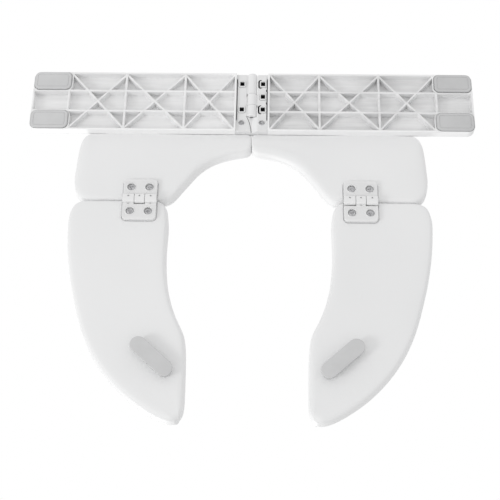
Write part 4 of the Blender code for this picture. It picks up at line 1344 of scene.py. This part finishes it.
def centre_leaf(side):
    """The hinge leaf in a bar's inner end."""
    word = SIDE_NAMES[side]
    leaf = slab(
        (LEAF_NEAR, LEAF_FRONT_Y),
        (LEAF_FAR, LEAF_REAR_Y),
        LEAF_CORNER,
        edge_profile(LEAF_LOW, LEAF_HIGH, SOFT, LEAF_BACK_SOFT),
        f"{word}_middle_leaf",
        HINGE_PLASTIC,
    )
    parts = leaf_flanges() + leaf_tab() + centre_knuckles(side)
    parts.append(screw_lip(*CENTRE_SCREW_PLACE, LEAF_LOW, CENTRE_HEAD_RADIUS))
    combine(leaf, parts, "UNION")
    window_x = LEAF_X + WINDOW_SHIFT[side]
    window_ys = [LEAF_REAR_Y - share * CENTRE_LENGTH for share in WINDOW_SHARES[side]]
    grooves, frames, mouths, deeps = zip(*[window_tools(window_x, y) for y in window_ys])
    notches = [notch(window_x, y) for y in window_ys[::2]] if side < 0 else []
    combine(leaf, [*grooves, *notches], "DIFFERENCE")
    combine(leaf, frames, "UNION")
    tools = [*mouths, *screw_holes([CENTRE_SCREW_PLACE], LEAF_LOW, CENTRE_HEAD_RADIUS, LEAF_HIGH)]
    bore = [(0, TAB_END + TAB_GAP / 2, CENTRE_AXIS_Z), (0, REAR_Y + OVERRUN, CENTRE_AXIS_Z)]
    radius = CENTRE_PIN_RADIUS + PIN_GAP
    tools.append(turned(*bore, [(0, radius), (bore[1][1] - bore[0][1], radius)], PIN_SIDES))
    if side < 0:
        tools += [slot(LEAF_REAR_Y - share * CENTRE_LENGTH) for share in SLOT_SHARES]
    else:
        tools.append(split_line())
    combine(leaf, tools, "DIFFERENCE")
    combine(leaf, deeps, "DIFFERENCE")
    body = f"{word}_half"
    finished(leaf, side, body, "hinge_plastic", f"{word}_centre_leaf")
    name, node = f"{word}_middle_screw", f"{word}_centre_screw"
    screw(name, side, *CENTRE_SCREW_PLACE, LEAF_LOW, CENTRE_HEAD_RADIUS, body, node)


def centre_pin():
    """The pin through the three knuckles, a little short of the barrel's front end."""
    start = REAR_Y - CENTRE_END - CENTRE_LENGTH + NOSE_SETBACK + PIN_SETBACK
    ends = [(0, y, CENTRE_AXIS_Z) for y in (start, REAR_Y - CENTRE_END - GAP)]
    pin = barrel(*ends, CENTRE_PIN_RADIUS, GAP, PIN_SIDES, "middle_pin", STEEL)
    finished(pin, 1, "left_half", "screw_steel", "centre_hinge_pin")


# ---- carried-over nodes
def paint_hidden():
    """Boards and side pins keep their CAD shape and get their finish."""
    for word in SIDE_NAMES.values():
        for name, surface in ((f"{word}_side_pin", STEEL), (f"{word}_wing_board", BOARD)):
            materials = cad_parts[name].data.materials
            materials.clear()
            materials.append(surface)


# ---- studio
FLOOR_TONE = (0.94, 0.94, 0.94, 1)
FLOOR_HALF_SIZE = 3.0
FLOOR_DROP = 0.0005
# Distances between which the floor fades into the backdrop.
FLOOR_NEAR = 0.22
FLOOR_FAR = 0.8
WHITE = (1, 1, 1, 1)
# The grey light's strength from below and above, and the heights between which it changes.
WORLD_BELOW = 0.865
WORLD_ABOVE = 0.74
WORLD_CHANGE = 0.3
# One soft key from the front left, low under the seat, and one above it: place, size, watts.
LAMPS = {
    "key_below": ((1.98, -1.14, -1.24), 0.7, 14.0),
    "key_above": ((0.8, -0.8, 1.4), 0.6, 9.6),
}


def floor_material():
    """A pale floor, seen from above only, that keeps the shadow and fades into the backdrop."""
    made = bpy.data.materials.new("studio_floor")
    nodes = cleared(made)
    camera_ray = nodes.add("ShaderNodeLightPath").outputs["Is Camera Ray"]
    backfacing = nodes.add("ShaderNodeNewGeometry").outputs["Backfacing"]
    front = nodes.math("SUBTRACT", camera_ray, backfacing, clamp=True)
    distance = nodes.add("ShaderNodeVectorMath")
    distance.operation = "LENGTH"
    nodes.feed(nodes.add("ShaderNodeTexCoord").outputs["Object"], distance.inputs[0])
    fade = nodes.range(distance.outputs["Value"], FLOOR_NEAR, FLOOR_FAR, 1, 0, "SMOOTHSTEP")
    clear = nodes.add("ShaderNodeBsdfTransparent")
    paint = nodes.add("ShaderNodeBsdfDiffuse", Color=FLOOR_TONE)
    nodes.mix_shaders(nodes.math("MULTIPLY", fade, front), clear, paint, "ShaderNodeOutputMaterial")
    return made


def make_floor():
    bm = bmesh.new()
    bmesh.ops.create_grid(bm, x_segments=2, y_segments=2, size=FLOOR_HALF_SIZE)
    floor = to_object(bm, "studio_floor", floor_material())
    floor.location.z = CAD_BOUNDS[0].z - FLOOR_DROP


def make_world():
    """White where the camera, gloss or glass sees it, and plain grey light elsewhere."""
    world = bpy.data.worlds.new("studio")
    bpy.context.scene.world = world
    nodes = cleared(world)
    path = nodes.add("ShaderNodeLightPath").outputs
    seen = nodes.math("MAXIMUM", path["Is Camera Ray"], path["Is Glossy Ray"])
    seen = nodes.math("MAXIMUM", seen, path["Is Transmission Ray"])
    place = nodes.add("ShaderNodeTexCoord").outputs["Generated"]
    height = nodes.add("ShaderNodeSeparateXYZ", Vector=place).outputs["Z"]
    level = nodes.range(height, -WORLD_CHANGE, WORLD_CHANGE, WORLD_BELOW, WORLD_ABOVE)
    soft = nodes.add("ShaderNodeBackground", Strength=level, Color=WHITE)
    white = nodes.add("ShaderNodeBackground", Strength=1, Color=WHITE)
    nodes.mix_shaders(seen, soft, white, "ShaderNodeOutputWorld")


def make_lamps():
    """Round lamps that point at the seat's middle."""
    for name, (place, size, watts) in LAMPS.items():
        data = bpy.data.lights.new(name, "AREA")
        data.shape = "DISK"
        data.size = size
        data.energy = watts
        lamp = link(data, name)
        lamp.location = place
        lamp.rotation_euler = (-Vector(place)).to_track_quat("-Z", "Y").to_euler()


# ---- making it
def build():
    make_camera()
    for side in (1, -1):
        dress_cushions(side)
        dress_bar(side)
        dress_wing_pad(side)
        for ahead in (1, -1):
            side_leaf(side, ahead)
        centre_leaf(side)
    centre_pin()
    paint_hidden()
    make_floor()
    make_world()
    make_lamps()
    bpy.context.scene.view_settings.view_transform = "Standard"


build()
